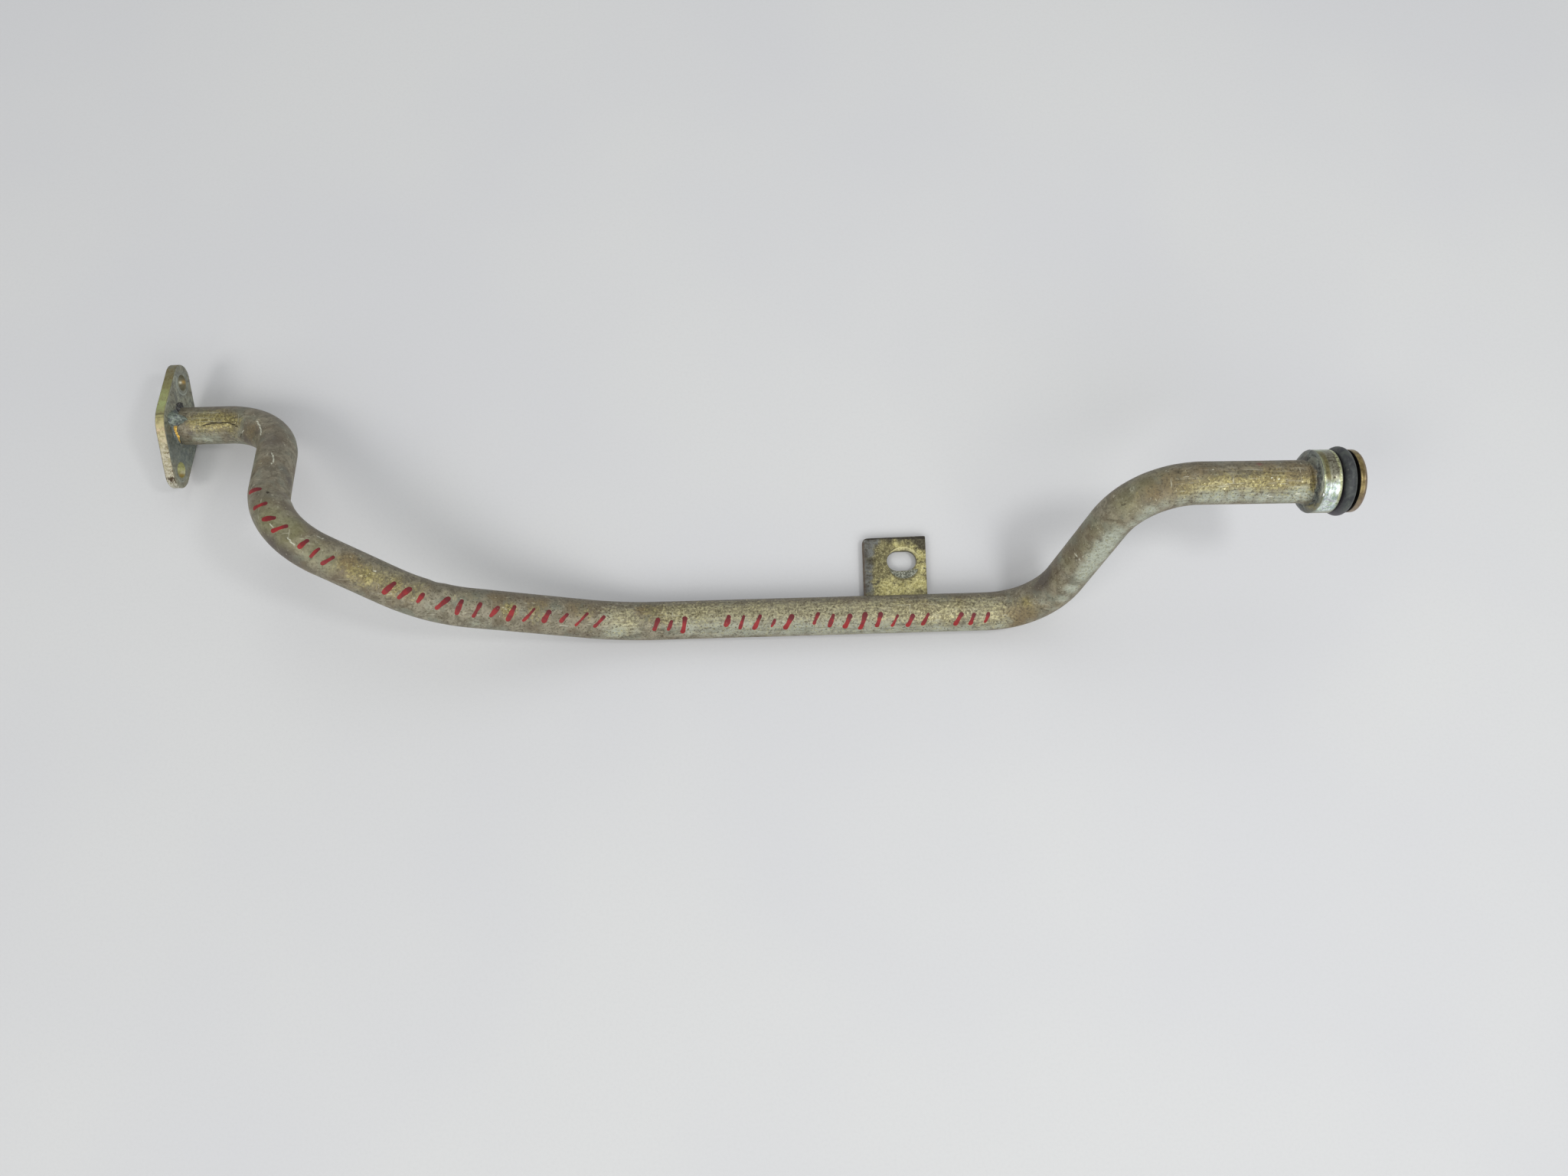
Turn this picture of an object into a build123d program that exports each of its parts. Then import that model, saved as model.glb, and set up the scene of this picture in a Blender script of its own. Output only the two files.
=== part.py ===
from build123d import *
from math import asin, cos, degrees, radians, sin, sqrt
import os

os.makedirs("parts", exist_ok=True)

# ---------------------------------------------------------------- dimensions
# Frame: millimetres, +Z up, the pipe lying at rest with Z = 0 as the surface
# it lies on. X runs along the first stub, from the flanged end to the plug end.

# drawn steel tube
tube_r = 8.0            # outside radius
wall = 1.5              # wall thickness
bore_r = tube_r - wall

# centreline corners, from the flange's inner face to the shoulder of the plug end
route = [
    (-231.76, 36.46, 14.75),
    (-188.64, 36.46, 14.75),
    (-175.33, -23.50, 55.64),
    (-116.69, -50.43, 35.21),
    (-44.61, -54.33, 8.00),
    (130.83, -55.05, 8.00),
    (156.30, -23.98, 77.28),
    (214.48, -24.54, 75.80),
]
bend_r = [27.5, 31.8, 90.0, 86.0, 30.6, 29.8]    # centreline bend radii, in order
tube_recess = 0.4       # tube end set back from the flange's sealing face
tube_in_collar = 10.4   # how far the tube goes into the collar

# two-bolt flange plate
flange_t = 4.0          # plate thickness
flange_mid_r = 14.75    # radius of the middle of the outline
flange_lobe_r = 6.8     # radius of the rounded ends
flange_lobe_pos = 19.95 # from the middle to the centre of each rounded end
flange_turn = 9.24      # turn of the long axis about the stub, as it lies
bolt_pitch = 38.0       # hole to hole
bolt_hole_r = 3.3       # clearance for a 6 mm bolt
flange_edge = 0.35      # broken edge round the plate

# bead round the tube on the flange's inner face, with one heavier tack on top
bead_leg = 1.5
tack_r = 2.5
tack_at = 12.0          # degrees from the top of the tube, towards +Y

# bracket tab: a plain sheet strip with a slot, fixed to the tube's flank
tab_t = 2.0
tab_top_z = 3.6
tab_corners = [(58.17, -45.46), (58.50, -20.20), (85.70, -19.90), (85.07, -45.70)]
tab_inner_y = -52.5     # the strip is first drawn to here, then cut to the tube
tab_round_left = 2.4    # radius of the far corner on the left
tab_round_right = 0.6   # radius of the far corner on the right
slot_at = (74.93, -30.7)
slot_length = 12.5      # end to end
slot_r = 4.35           # half the slot's width
tab_bead_leg = 1.7      # bead along the root of the tab, on its upper side

# turned collar on the plug end, measured along the end's axis from its shoulder
collar_r = 11.7
shoulder_foot = 2.1     # where the rounded shoulder leaves the tube
shoulder_mid = (2.95, 10.25)  # a point half way up its curve
shoulder_len = 4.4
groove_start = 11.8
groove_end = 18.3
groove_r = 8.35         # radius at the bottom of the groove
lip_r = 11.65
collar_len = 21.0
end_round = 1.0         # rounding of the end's outer edge
collar_bead = 1.2       # bead between tube and shoulder

# rubber seal ring in the groove
ring_r = 2.3            # radius of its section
ring_mid_r = 10.55      # radius of the section's centre
ring_at = 15.0          # along the collar

# ---------------------------------------------------------------- datum planes
stub_start = Vector(*route[0])
stub_dir = (Vector(*route[1]) - stub_start).normalized()
shoulder = Vector(*route[-1])
end_dir = (shoulder - Vector(*route[-2])).normalized()
end_side = end_dir.cross(Vector(0, 0, 1)).normalized()

# flange plane: seen from the outer side, local x along the long axis
turn = radians(flange_turn)
flange_long = Vector(0, cos(turn), sin(turn))
flange_outer = Plane(
    origin=stub_start - stub_dir * flange_t, x_dir=flange_long, z_dir=stub_dir
)
# section plane through the end's axis: local x along the axis, local y outward
end_section = Plane(origin=shoulder, x_dir=end_dir, z_dir=end_side)
end_axis = Axis(shoulder, end_dir)
stub_axis = Axis(stub_start, stub_dir)
stub_section = Plane(origin=stub_start, x_dir=stub_dir, z_dir=(0, -1, 0))

run_start = Vector(*route[4])
run_end = Vector(*route[5])
run_dir = (run_end - run_start).normalized()
run_side = Vector(0, 0, 1).cross(run_dir)       # horizontal, towards the tab

# ---------------------------------------------------------------- tube
tube_start = stub_start - stub_dir * (flange_t - tube_recess)
tube_end = shoulder + end_dir * tube_in_collar
tube_points = [tube_start] + [Vector(*p) for p in route[1:-1]] + [tube_end]

with BuildPart() as pipe:
    with BuildLine() as centreline:
        FilletPolyline(*tube_points, radius=bend_r)
    with BuildSketch(Plane(origin=tube_start, z_dir=stub_dir)) as section:
        Circle(tube_r)
        Circle(bore_r, mode=Mode.SUBTRACT)
    sweep()
pipe.part.label = "pipe"
tube_length = centreline.wire().length
tube_area = 3.14159265 * (tube_r**2 - bore_r**2)
print("tube length", round(tube_length, 2), "volume", round(pipe.part.volume, 1),
      "section x length", round(tube_area * tube_length, 1))

# ---------------------------------------------------------------- flange plate
# Outline: a middle circle and two smaller end circles, joined by their tangents
# on both sides. side is the angle between a tangent and the long axis.
side = asin((flange_mid_r - flange_lobe_r) / flange_lobe_pos)
mid_t = (flange_mid_r * sin(side), flange_mid_r * cos(side))
lobe_t = (flange_lobe_pos + flange_lobe_r * sin(side), flange_lobe_r * cos(side))
lobe_tip = (flange_lobe_pos + flange_lobe_r, 0)

with BuildPart() as flange_plate:
    with BuildSketch(flange_outer):
        with BuildLine():
            Line((mid_t[0], mid_t[1]), (lobe_t[0], lobe_t[1]))
            ThreePointArc((lobe_t[0], lobe_t[1]), lobe_tip, (lobe_t[0], -lobe_t[1]))
            Line((lobe_t[0], -lobe_t[1]), (mid_t[0], -mid_t[1]))
            ThreePointArc((mid_t[0], -mid_t[1]), (0, -flange_mid_r), (-mid_t[0], -mid_t[1]))
            Line((-mid_t[0], -mid_t[1]), (-lobe_t[0], -lobe_t[1]))
            ThreePointArc(
                (-lobe_t[0], -lobe_t[1]), (-lobe_tip[0], 0), (-lobe_t[0], lobe_t[1])
            )
            Line((-lobe_t[0], lobe_t[1]), (-mid_t[0], mid_t[1]))
            ThreePointArc((-mid_t[0], mid_t[1]), (0, flange_mid_r), (mid_t[0], mid_t[1]))
        make_face()
    extrude(amount=flange_t)
    rim = (
        flange_plate.faces().filter_by(Axis.X).sort_by(Axis.X)[-1].outer_wire().edges()
        + flange_plate.faces().filter_by(Axis.X).sort_by(Axis.X)[0].outer_wire().edges()
    )
    fillet(rim, radius=flange_edge)
    with BuildSketch(flange_outer):
        Circle(tube_r)
        with Locations((bolt_pitch / 2, 0), (-bolt_pitch / 2, 0)):
            Circle(bolt_hole_r)
    extrude(amount=flange_t, mode=Mode.SUBTRACT)
flange_plate.part.label = "flange_plate"

# ---------------------------------------------------------------- flange bead
# A small concave bead all round the tube's root, and one raised tack on top.
tack_turn = radians(tack_at)
tack_centre = (
    stub_start
    + stub_dir * 2.3
    + Vector(0, sin(tack_turn), cos(tack_turn)) * (tube_r - 0.1)
)
with BuildPart() as flange_weld:
    with BuildSketch(stub_section):
        with BuildLine():
            Line((0, tube_r), (0, tube_r + bead_leg))
            ThreePointArc(
                (0, tube_r + bead_leg),
                (bead_leg * 0.36, tube_r + bead_leg * 0.36),
                (bead_leg, tube_r),
            )
            Line((bead_leg, tube_r), (0, tube_r))
        make_face()
    revolve(axis=stub_axis)
    with BuildSketch(Plane(origin=tack_centre, x_dir=stub_dir, z_dir=(0, -1, 0))):
        Circle(tack_r)
        with Locations((0, -tack_r)):
            Rectangle(4 * tack_r, 2 * tack_r, mode=Mode.SUBTRACT)
    revolve(axis=Axis(tack_centre, stub_dir))
    # cut to the tube and to the plate's inner face
    with BuildSketch(Plane(origin=stub_start - stub_dir * 10, z_dir=stub_dir)):
        Circle(tube_r)
    extrude(amount=30, mode=Mode.SUBTRACT)
    with BuildSketch(Plane(origin=stub_start, z_dir=stub_dir)):
        Circle(40)
    extrude(amount=-10, mode=Mode.SUBTRACT)
flange_weld.part.label = "flange_weld"

# ---------------------------------------------------------------- bracket tab
with BuildPart() as bracket_tab:
    with BuildSketch(Plane.XY.offset(tab_top_z)):
        with BuildLine():
            Polyline(
                (tab_corners[0][0] - 0.15, tab_inner_y),
                tab_corners[1],
                tab_corners[2],
                (tab_corners[3][0] - 0.15, tab_inner_y),
                close=True,
            )
        make_face()
    extrude(amount=-tab_t)
    upright = bracket_tab.edges().filter_by(Axis.Z)
    far = upright.sort_by(Axis.Y)[-2:].sort_by(Axis.X)
    fillet(far[0], radius=tab_round_left)
    far = bracket_tab.edges().filter_by(Axis.Z).sort_by(
        lambda e: (e.center() - Vector(tab_corners[2][0], tab_corners[2][1], 0)).length
    )
    fillet(far[0], radius=tab_round_right)
    with BuildSketch(Plane.XY.offset(tab_top_z)):
        with Locations(slot_at):
            SlotOverall(slot_length, 2 * slot_r)
    extrude(amount=-tab_t, mode=Mode.SUBTRACT)
    with BuildSketch(Plane(origin=run_start, z_dir=run_dir)):
        Circle(tube_r)
    extrude(amount=175, mode=Mode.SUBTRACT)
bracket_tab.part.label = "bracket_tab"

# ---------------------------------------------------------------- tab bead
# A bead laid in the corner between the tab's upper face and the tube's flank.
bead_plane = Plane(
    origin=run_start + run_dir * 104.6, x_dir=run_side, z_dir=run_dir
)
root = sqrt(tube_r**2 - (tube_r - tab_top_z) ** 2)      # flank, at the tab's top
low = tab_top_z - tube_r                                # that height from the axis
with BuildPart() as bracket_weld:
    with BuildSketch(bead_plane):
        with BuildLine():
            Polyline(
                (root - 1.2, low),
                (root + tab_bead_leg, low),
                (root + tab_bead_leg - 0.25, low + 0.75),
                (root + 0.95, low + 1.75),
                (root - 0.4, low + 2.3),
                (root - 1.2, low + 2.3),
                close=True,
            )
        make_face()
    extrude(amount=23.0)
    with BuildSketch(Plane(origin=run_start, z_dir=run_dir)):
        Circle(tube_r)
    extrude(amount=175, mode=Mode.SUBTRACT)
bracket_weld.part.label = "bracket_weld"

# ---------------------------------------------------------------- plug end collar
with BuildPart() as end_collar:
    with BuildSketch(end_section):
        with BuildLine():
            ThreePointArc((shoulder_foot, tube_r), shoulder_mid, (shoulder_len, collar_r))
            Line((shoulder_len, collar_r), (groove_start, collar_r))
            Line((groove_start, collar_r), (groove_start, groove_r))
            Line((groove_start, groove_r), (groove_end, groove_r))
            Line((groove_end, groove_r), (groove_end, lip_r))
            Line((groove_end, lip_r), (collar_len - end_round, lip_r))
            RadiusArc(
                (collar_len - end_round, lip_r), (collar_len, lip_r - end_round), end_round
            )
            Line((collar_len, lip_r - end_round), (collar_len, bore_r + 0.6))
            Line((collar_len, bore_r + 0.6), (collar_len - 0.6, bore_r))
            Line((collar_len - 0.6, bore_r), (tube_in_collar, bore_r))
            Line((tube_in_collar, bore_r), (tube_in_collar, tube_r))
            Line((tube_in_collar, tube_r), (shoulder_foot, tube_r))
        make_face()
    revolve(axis=end_axis)
end_collar.part.label = "end_collar"

# ---------------------------------------------------------------- collar bead
with BuildPart() as collar_braze:
    with BuildSketch(end_section):
        with BuildLine():
            Polyline(
                (shoulder_foot - collar_bead, tube_r),
                (shoulder_foot - 0.4, tube_r + 0.45),
                (shoulder_foot + 0.4, tube_r + 1.6),
                (shoulder_foot + 1.4, tube_r + 2.4),
                (shoulder_foot + 1.4, tube_r),
                close=True,
            )
        make_face()
    revolve(axis=end_axis)
    with BuildSketch(end_section):
        with BuildLine():
            ThreePointArc((shoulder_foot, tube_r), shoulder_mid, (shoulder_len, collar_r))
            Line((shoulder_len, collar_r), (shoulder_len, tube_r))
            Line((shoulder_len, tube_r), (shoulder_foot, tube_r))
        make_face()
    revolve(axis=end_axis, mode=Mode.SUBTRACT)
collar_braze.part.label = "collar_braze"

# ---------------------------------------------------------------- seal ring
# Round section, flattened where it is stretched on to the groove's bottom.
with BuildPart() as o_ring:
    with BuildSketch(end_section):
        with Locations((ring_at, ring_mid_r)):
            Circle(ring_r)
        with Locations((ring_at, groove_r - 5)):
            Rectangle(20, 10, mode=Mode.SUBTRACT)
    revolve(axis=end_axis)
o_ring.part.label = "o_ring"

# ---------------------------------------------------------------- files
for piece in (
    pipe, flange_plate, flange_weld, bracket_tab,
    bracket_weld, end_collar, collar_braze, o_ring,
):
    export_step(piece.part, "parts/" + piece.part.label + ".step")
    box = piece.part.bounding_box()
    print(piece.part.label, [round(v, 2) for v in (*box.min, *box.max)],
          round(piece.part.volume, 1), len(piece.part.solids()))
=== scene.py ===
import math

import bmesh
import bpy
import numpy as np
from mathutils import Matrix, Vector
from mathutils.bvhtree import BVHTree


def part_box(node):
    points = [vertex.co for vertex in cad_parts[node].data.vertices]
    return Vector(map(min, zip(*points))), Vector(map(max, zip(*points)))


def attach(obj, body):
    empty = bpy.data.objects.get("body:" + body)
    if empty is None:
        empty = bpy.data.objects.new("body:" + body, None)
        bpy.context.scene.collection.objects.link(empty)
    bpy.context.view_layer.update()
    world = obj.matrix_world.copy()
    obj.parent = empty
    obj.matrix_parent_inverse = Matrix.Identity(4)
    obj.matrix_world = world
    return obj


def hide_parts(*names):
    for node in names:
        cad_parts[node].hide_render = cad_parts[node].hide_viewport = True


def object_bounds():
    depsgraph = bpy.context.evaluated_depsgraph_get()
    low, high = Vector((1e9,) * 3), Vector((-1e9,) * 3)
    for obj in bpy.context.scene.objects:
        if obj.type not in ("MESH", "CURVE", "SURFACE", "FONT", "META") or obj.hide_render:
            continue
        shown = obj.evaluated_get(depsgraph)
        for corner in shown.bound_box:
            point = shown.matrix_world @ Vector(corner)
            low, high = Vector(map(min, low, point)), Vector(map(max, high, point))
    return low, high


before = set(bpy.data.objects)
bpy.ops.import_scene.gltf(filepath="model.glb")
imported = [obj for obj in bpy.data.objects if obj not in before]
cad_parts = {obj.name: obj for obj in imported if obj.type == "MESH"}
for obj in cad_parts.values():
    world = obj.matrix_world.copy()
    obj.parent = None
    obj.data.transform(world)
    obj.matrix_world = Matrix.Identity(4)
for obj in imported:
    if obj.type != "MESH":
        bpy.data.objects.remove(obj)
cad_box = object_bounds()
CAD_LO = np.array(cad_box[0]) + 2e-6
CAD_HI = np.array(cad_box[1]) - 2e-6

# ------------------------------------------------------------------ frame
# All shapes are worked out in millimetres in the part's own frame, and turned
# into metres when a mesh is made. Pixel places are in a 2048 x 1536 picture.
MM = 0.001

TUBE_R = 8.0
BORE_R = 6.5
ROUTE = np.array([
    (-231.76, 36.46, 14.75),
    (-188.64, 36.46, 14.75),
    (-175.33, -23.50, 55.64),
    (-116.69, -50.43, 35.21),
    (-44.61, -54.33, 8.00),
    (130.83, -55.05, 8.00),
    (156.30, -23.98, 77.28),
    (214.48, -24.54, 75.80),
])
BEND_R = [27.5, 31.8, 90.0, 86.0, 30.6, 29.8]
FLANGE_T = 4.0
TUBE_RECESS = 0.4
TUBE_IN_COLLAR = 10.4
FLANGE_TURN = math.radians(9.24)


def unit(v):
    v = np.asarray(v, float)
    return v / np.linalg.norm(v)


STUB_START = ROUTE[0]
STUB_DIR = unit(ROUTE[1] - ROUTE[0])
SHOULDER = ROUTE[-1]
END_DIR = unit(ROUTE[-1] - ROUTE[-2])
RUN_START = ROUTE[4]
RUN_DIR = unit(ROUTE[5] - ROUTE[4])
RUN_SIDE = unit(np.cross([0, 0, 1.0], RUN_DIR))
FLANGE_LONG = np.array([0, math.cos(FLANGE_TURN), math.sin(FLANGE_TURN)])
FLANGE_WIDE = np.cross(STUB_DIR, FLANGE_LONG)

# ------------------------------------------------------------------ camera
CAM_AT = (0.020329, -0.159564, 0.489663)
CAM_TURN = (math.radians(13.7185), 0.0, math.radians(-1.9339))
LENS, SENSOR, PICTURE = 27.035, 36.0, (2048, 1536)

cam_data = bpy.data.cameras.new("camera")
cam_data.lens = LENS
cam_data.sensor_width = SENSOR
cam_data.clip_start = 0.01
cam = bpy.data.objects.new("camera", cam_data)
cam.location = CAM_AT
cam.rotation_euler = CAM_TURN
bpy.context.scene.collection.objects.link(cam)
bpy.context.scene.camera = cam
bpy.context.view_layer.update()
CAM_MATRIX = np.array(cam.matrix_world.to_3x3())
FOCAL = LENS / SENSOR * PICTURE[0]


def ray(u, v):
    d = CAM_MATRIX @ np.array([(u - PICTURE[0] / 2) / FOCAL, -(v - PICTURE[1] / 2) / FOCAL, -1.0])
    return unit(d)


class Surface:
    """A shape that pixel places are laid on."""

    def __init__(self, verts, faces):
        self.tree = BVHTree.FromPolygons([tuple(v) for v in verts], [tuple(f) for f in faces])

    def spot(self, u, v):
        hit = self.tree.ray_cast(Vector(CAM_AT) * 1000.0, Vector(ray(u, v)))
        if hit[0] is None:
            # just outside the outline: the nearest point of the shape to the ray
            at = np.array(CAM_AT) * 1000.0 + ray(u, v) * 470.0
            hit = self.tree.find_nearest(Vector(at))
        return np.array(hit[0])


def joined(*shapes):
    """One surface of several shapes."""
    verts, faces, n = [], [], 0
    for v, fcs in shapes:
        verts.extend(v)
        faces.extend(tuple(i + n for i in fc) for fc in fcs)
        n += len(v)
    return Surface(verts, faces)


# ------------------------------------------------------------------ noise
def _hash(ix, iy, iz, seed):
    m = np.uint64(0xFFFFFFFF)
    h = (
        ix.astype(np.uint64) * np.uint64(374761393)
        + iy.astype(np.uint64) * np.uint64(668265263)
        + iz.astype(np.uint64) * np.uint64(1442695041)
        + np.uint64(seed * 144665 + 7)
    ) & m
    h = ((h ^ (h >> np.uint64(13))) * np.uint64(1274126177)) & m
    h = ((h ^ (h >> np.uint64(15))) * np.uint64(2246822519)) & m
    return ((h ^ (h >> np.uint64(16))) & m).astype(float) / 4294967295.0


def value_noise(p, size, seed=0):
    """Smooth noise from -1 to 1 with features about size millimetres wide."""
    q = np.asarray(p, float) / size + 1000.0
    i = np.floor(q).astype(np.int64)
    f = q - i
    f = f * f * f * (f * (f * 6 - 15) + 10)
    out = 0.0
    for dx in (0, 1):
        wx = f[:, 0] if dx else 1 - f[:, 0]
        for dy in (0, 1):
            wy = f[:, 1] if dy else 1 - f[:, 1]
            for dz in (0, 1):
                wz = f[:, 2] if dz else 1 - f[:, 2]
                out = out + wx * wy * wz * _hash(i[:, 0] + dx, i[:, 1] + dy, i[:, 2] + dz, seed)
    return out * 2 - 1


def fbm(p, size, octaves=4, seed=0, gain=0.5):
    total, amp, norm = 0.0, 1.0, 0.0
    for k in range(octaves):
        total = total + amp * value_noise(p, size / 2**k, seed + 31 * k)
        norm += amp
        amp *= gain
    return total / norm


def smooth(x, lo, hi):
    t = np.clip((x - lo) / (hi - lo), 0, 1)
    return t * t * (3 - 2 * t)


def line_distance(p, points):
    """Distance of each point of p from a chain of points, and how far along the nearest place is, 0 to 1."""
    best = np.full(len(p), 1e9)
    along = np.zeros(len(p))
    points = [np.asarray(q, float) for q in points]
    if len(points) == 1:
        return np.linalg.norm(p - points[0], axis=1), along
    n = len(points) - 1
    for k in range(n):
        a, b = points[k], points[k + 1]
        ab = b - a
        t = np.clip(((p - a) @ ab) / max(ab @ ab, 1e-9), 0, 1)
        d = np.linalg.norm(p - (a + t[:, None] * ab), axis=1)
        closer = d < best
        best[closer] = d[closer]
        along[closer] = (k + t[closer]) / n
    return best, along


def blobs(p, surface, items):
    """Soft round patches: (u, v, radius in mm, strength)."""
    out = np.zeros(len(p))
    for u, v, r, a in items:
        c = surface.spot(u, v)
        d2 = ((p - c) ** 2).sum(1)
        out = np.maximum(out, a * np.exp(-d2 / (r * r)))
    return out


def streaks(p, surface, items):
    """Soft lines: ([(u, v), ...], half width in mm, strength)."""
    out = np.zeros(len(p))
    for px, w, a in items:
        d, t = line_distance(p, [surface.spot(*q) for q in px])
        taper = np.clip(np.minimum(t, 1 - t) * 8 + 0.35, 0, 1)
        out = np.maximum(out, a * np.exp(-((d / (w * taper)) ** 2)))
    return out


# ------------------------------------------------------------------ meshes
def add_mesh(name, verts_mm, faces, attrs=None, material=None):
    me = bpy.data.meshes.new(name)
    verts = np.clip(np.asarray(verts_mm, float) * MM, CAD_LO, CAD_HI).astype(np.float32)
    faces = list(faces)
    me.from_pydata([], [], [])
    me.vertices.add(len(verts))
    me.vertices.foreach_set("co", verts.ravel())
    sizes = np.array([len(f) for f in faces], np.int32)
    loops = np.fromiter((i for f in faces for i in f), np.int32, int(sizes.sum()))
    me.loops.add(len(loops))
    me.loops.foreach_set("vertex_index", loops)
    me.polygons.add(len(faces))
    starts = np.concatenate([[0], np.cumsum(sizes)[:-1]]).astype(np.int32)
    me.polygons.foreach_set("loop_start", starts)
    me.update(calc_edges=True)
    me.validate()
    me.polygons.foreach_set("use_smooth", [True] * len(me.polygons))
    for key, values in (attrs or {}).items():
        at = me.attributes.new(key, "FLOAT", "POINT")
        at.data.foreach_set("value", np.asarray(values, np.float32))
    ob = bpy.data.objects.new(name, me)
    bpy.context.scene.collection.objects.link(ob)
    if material:
        me.materials.append(material)
    return ob


def grid_faces(rows, cols, offset=0, close_rows=False, flip=False):
    """Quads of a grid whose columns run round and close."""
    out = []
    last = rows if close_rows else rows - 1
    for i in range(last):
        a = offset + i * cols
        b = offset + ((i + 1) % rows) * cols
        for j in range(cols):
            k = (j + 1) % cols
            f = (a + j, a + k, b + k, b + j)
            out.append(f[::-1] if flip else f)
    return out


def path(points, radii, step):
    """Places along straight runs joined by tangent arcs: position, tangent, length, inward side and bend share."""
    pts = [np.asarray(q, float) for q in points]
    pieces = []
    at = pts[0]
    for i in range(1, len(pts) - 1):
        d0, d1 = unit(pts[i] - pts[i - 1]), unit(pts[i + 1] - pts[i])
        turn = math.acos(np.clip(d0 @ d1, -1, 1))
        t = radii[i - 1] * math.tan(turn / 2)
        a, b = pts[i] - d0 * t, pts[i] + d1 * t
        pieces.append(("run", at, a, d0))
        side = unit(d1 - d0)
        centre = pts[i] + side * (radii[i - 1] / math.cos(turn / 2))
        pieces.append(("arc", a, centre, d0, turn, radii[i - 1]))
        at = b
    pieces.append(("run", at, pts[-1], unit(pts[-1] - at)))
    lengths = [
        np.linalg.norm(q[2] - q[1]) if q[0] == "run" else q[4] * q[5] for q in pieces
    ]
    total = sum(lengths)
    n = int(round(total / step)) + 1
    ss = np.linspace(0, total, n)
    P, T, S, K = [], [], [], []
    ends = np.cumsum(lengths)
    for s in ss:
        k = min(int(np.searchsorted(ends, s - 1e-9)), len(pieces) - 1)
        u = s - (ends[k] - lengths[k])
        q = pieces[k]
        if q[0] == "run":
            P.append(q[1] + q[3] * u)
            T.append(q[3])
            S.append(np.zeros(3))
            K.append(0.0)
        else:
            _, a, c, d0, turn, r = q
            out = unit(a - c)
            ang = u / r
            P.append(c + (out * math.cos(ang) + d0 * math.sin(ang)) * r)
            T.append(-out * math.sin(ang) + d0 * math.cos(ang))
            S.append(-(out * math.cos(ang) + d0 * math.sin(ang)))
            K.append(1.0 / r)
    return np.array(P), np.array(T), ss, np.array(S), np.array(K)


def carried_sides(T, first):
    """Two sides across the path that turn with it and don't twist."""
    a = unit(first - T[0] * (first @ T[0]))
    out = [a]
    for i in range(1, len(T)):
        a = unit(a - T[i] * (a @ T[i]))
        out.append(a)
    A = np.array(out)
    return A, np.cross(T, A)


# ------------------------------------------------------------------ tube
tube_points = np.array(
    [STUB_START - STUB_DIR * (FLANGE_T - TUBE_RECESS)]
    + list(ROUTE[1:-1])
    + [SHOULDER + END_DIR * TUBE_IN_COLLAR]
)
P, T, S, SIDE, CURVE = path(tube_points, BEND_R, 0.64)
A, B = carried_sides(T, np.array([0, 0, 1.0]))
ROUND = 96
angle = np.arange(ROUND) * 2 * math.pi / ROUND
dirs = A[:, None] * np.cos(angle)[None, :, None] + B[:, None] * np.sin(angle)[None, :, None]
base = P[:, None] + dirs * TUBE_R
tube_faces = grid_faces(len(P), ROUND, flip=True)
tube_surface = Surface(base.reshape(-1, 3), tube_faces)

# bends: the outside is drawn in a little, and the sides stand out a little
bend = CURVE * 0
soft = np.exp(-((np.arange(-12, 13) / 6.0) ** 2))
soft /= soft.sum()
curve = np.convolve(CURVE, soft, mode="same")
side = np.stack([np.convolve(SIDE[:, k], soft, mode="same") for k in range(3)], 1)
inward = np.einsum("nac,nc->na", dirs, side)
tight = np.clip(curve * 30, 0, 1)[:, None]
radius = TUBE_R + tight * (-0.22 * np.clip(-inward, 0, 1) ** 2 - 0.06 * np.clip(inward, 0, 1) ** 2 + 0.05 * (1 - inward**2))
flat_dirs = dirs.reshape(-1, 3)
flat_base = base.reshape(-1, 3)
wobble = 0.035 * fbm(flat_base, 14, 3, 5) + 0.022 * fbm(flat_base, 3.0, 3, 9)
radius = radius.reshape(-1) + wobble - 0.03

# small creases on the inside of two bends
for (u, v), depth, along_w, round_w in (
    ((378, 648), 0.55, 2.2, 4.0),
    ((570, 761), 0.30, 2.6, 3.5),
):
    c = tube_surface.spot(u, v)
    k = int(np.argmin(np.linalg.norm(P - c, axis=1)))
    ds = (flat_base - P[k]) @ T[k]
    across = flat_dirs @ unit(c - P[k])
    near = np.linalg.norm(flat_base - c, axis=1) < 25
    radius -= near * depth * np.exp(-((ds / along_w) ** 2)) * np.clip(across, 0, 1) ** round_w
    radius += near * 0.35 * depth * np.exp(-(((np.abs(ds) - 3.4) / 2.0) ** 2)) * np.clip(across, 0, 1) ** round_w

tube_s = np.repeat(S, ROUND)
tube_v = P.repeat(ROUND, 0) + flat_dirs * np.minimum(radius, TUBE_R + 0.03)[:, None]

spots = tube_surface

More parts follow.
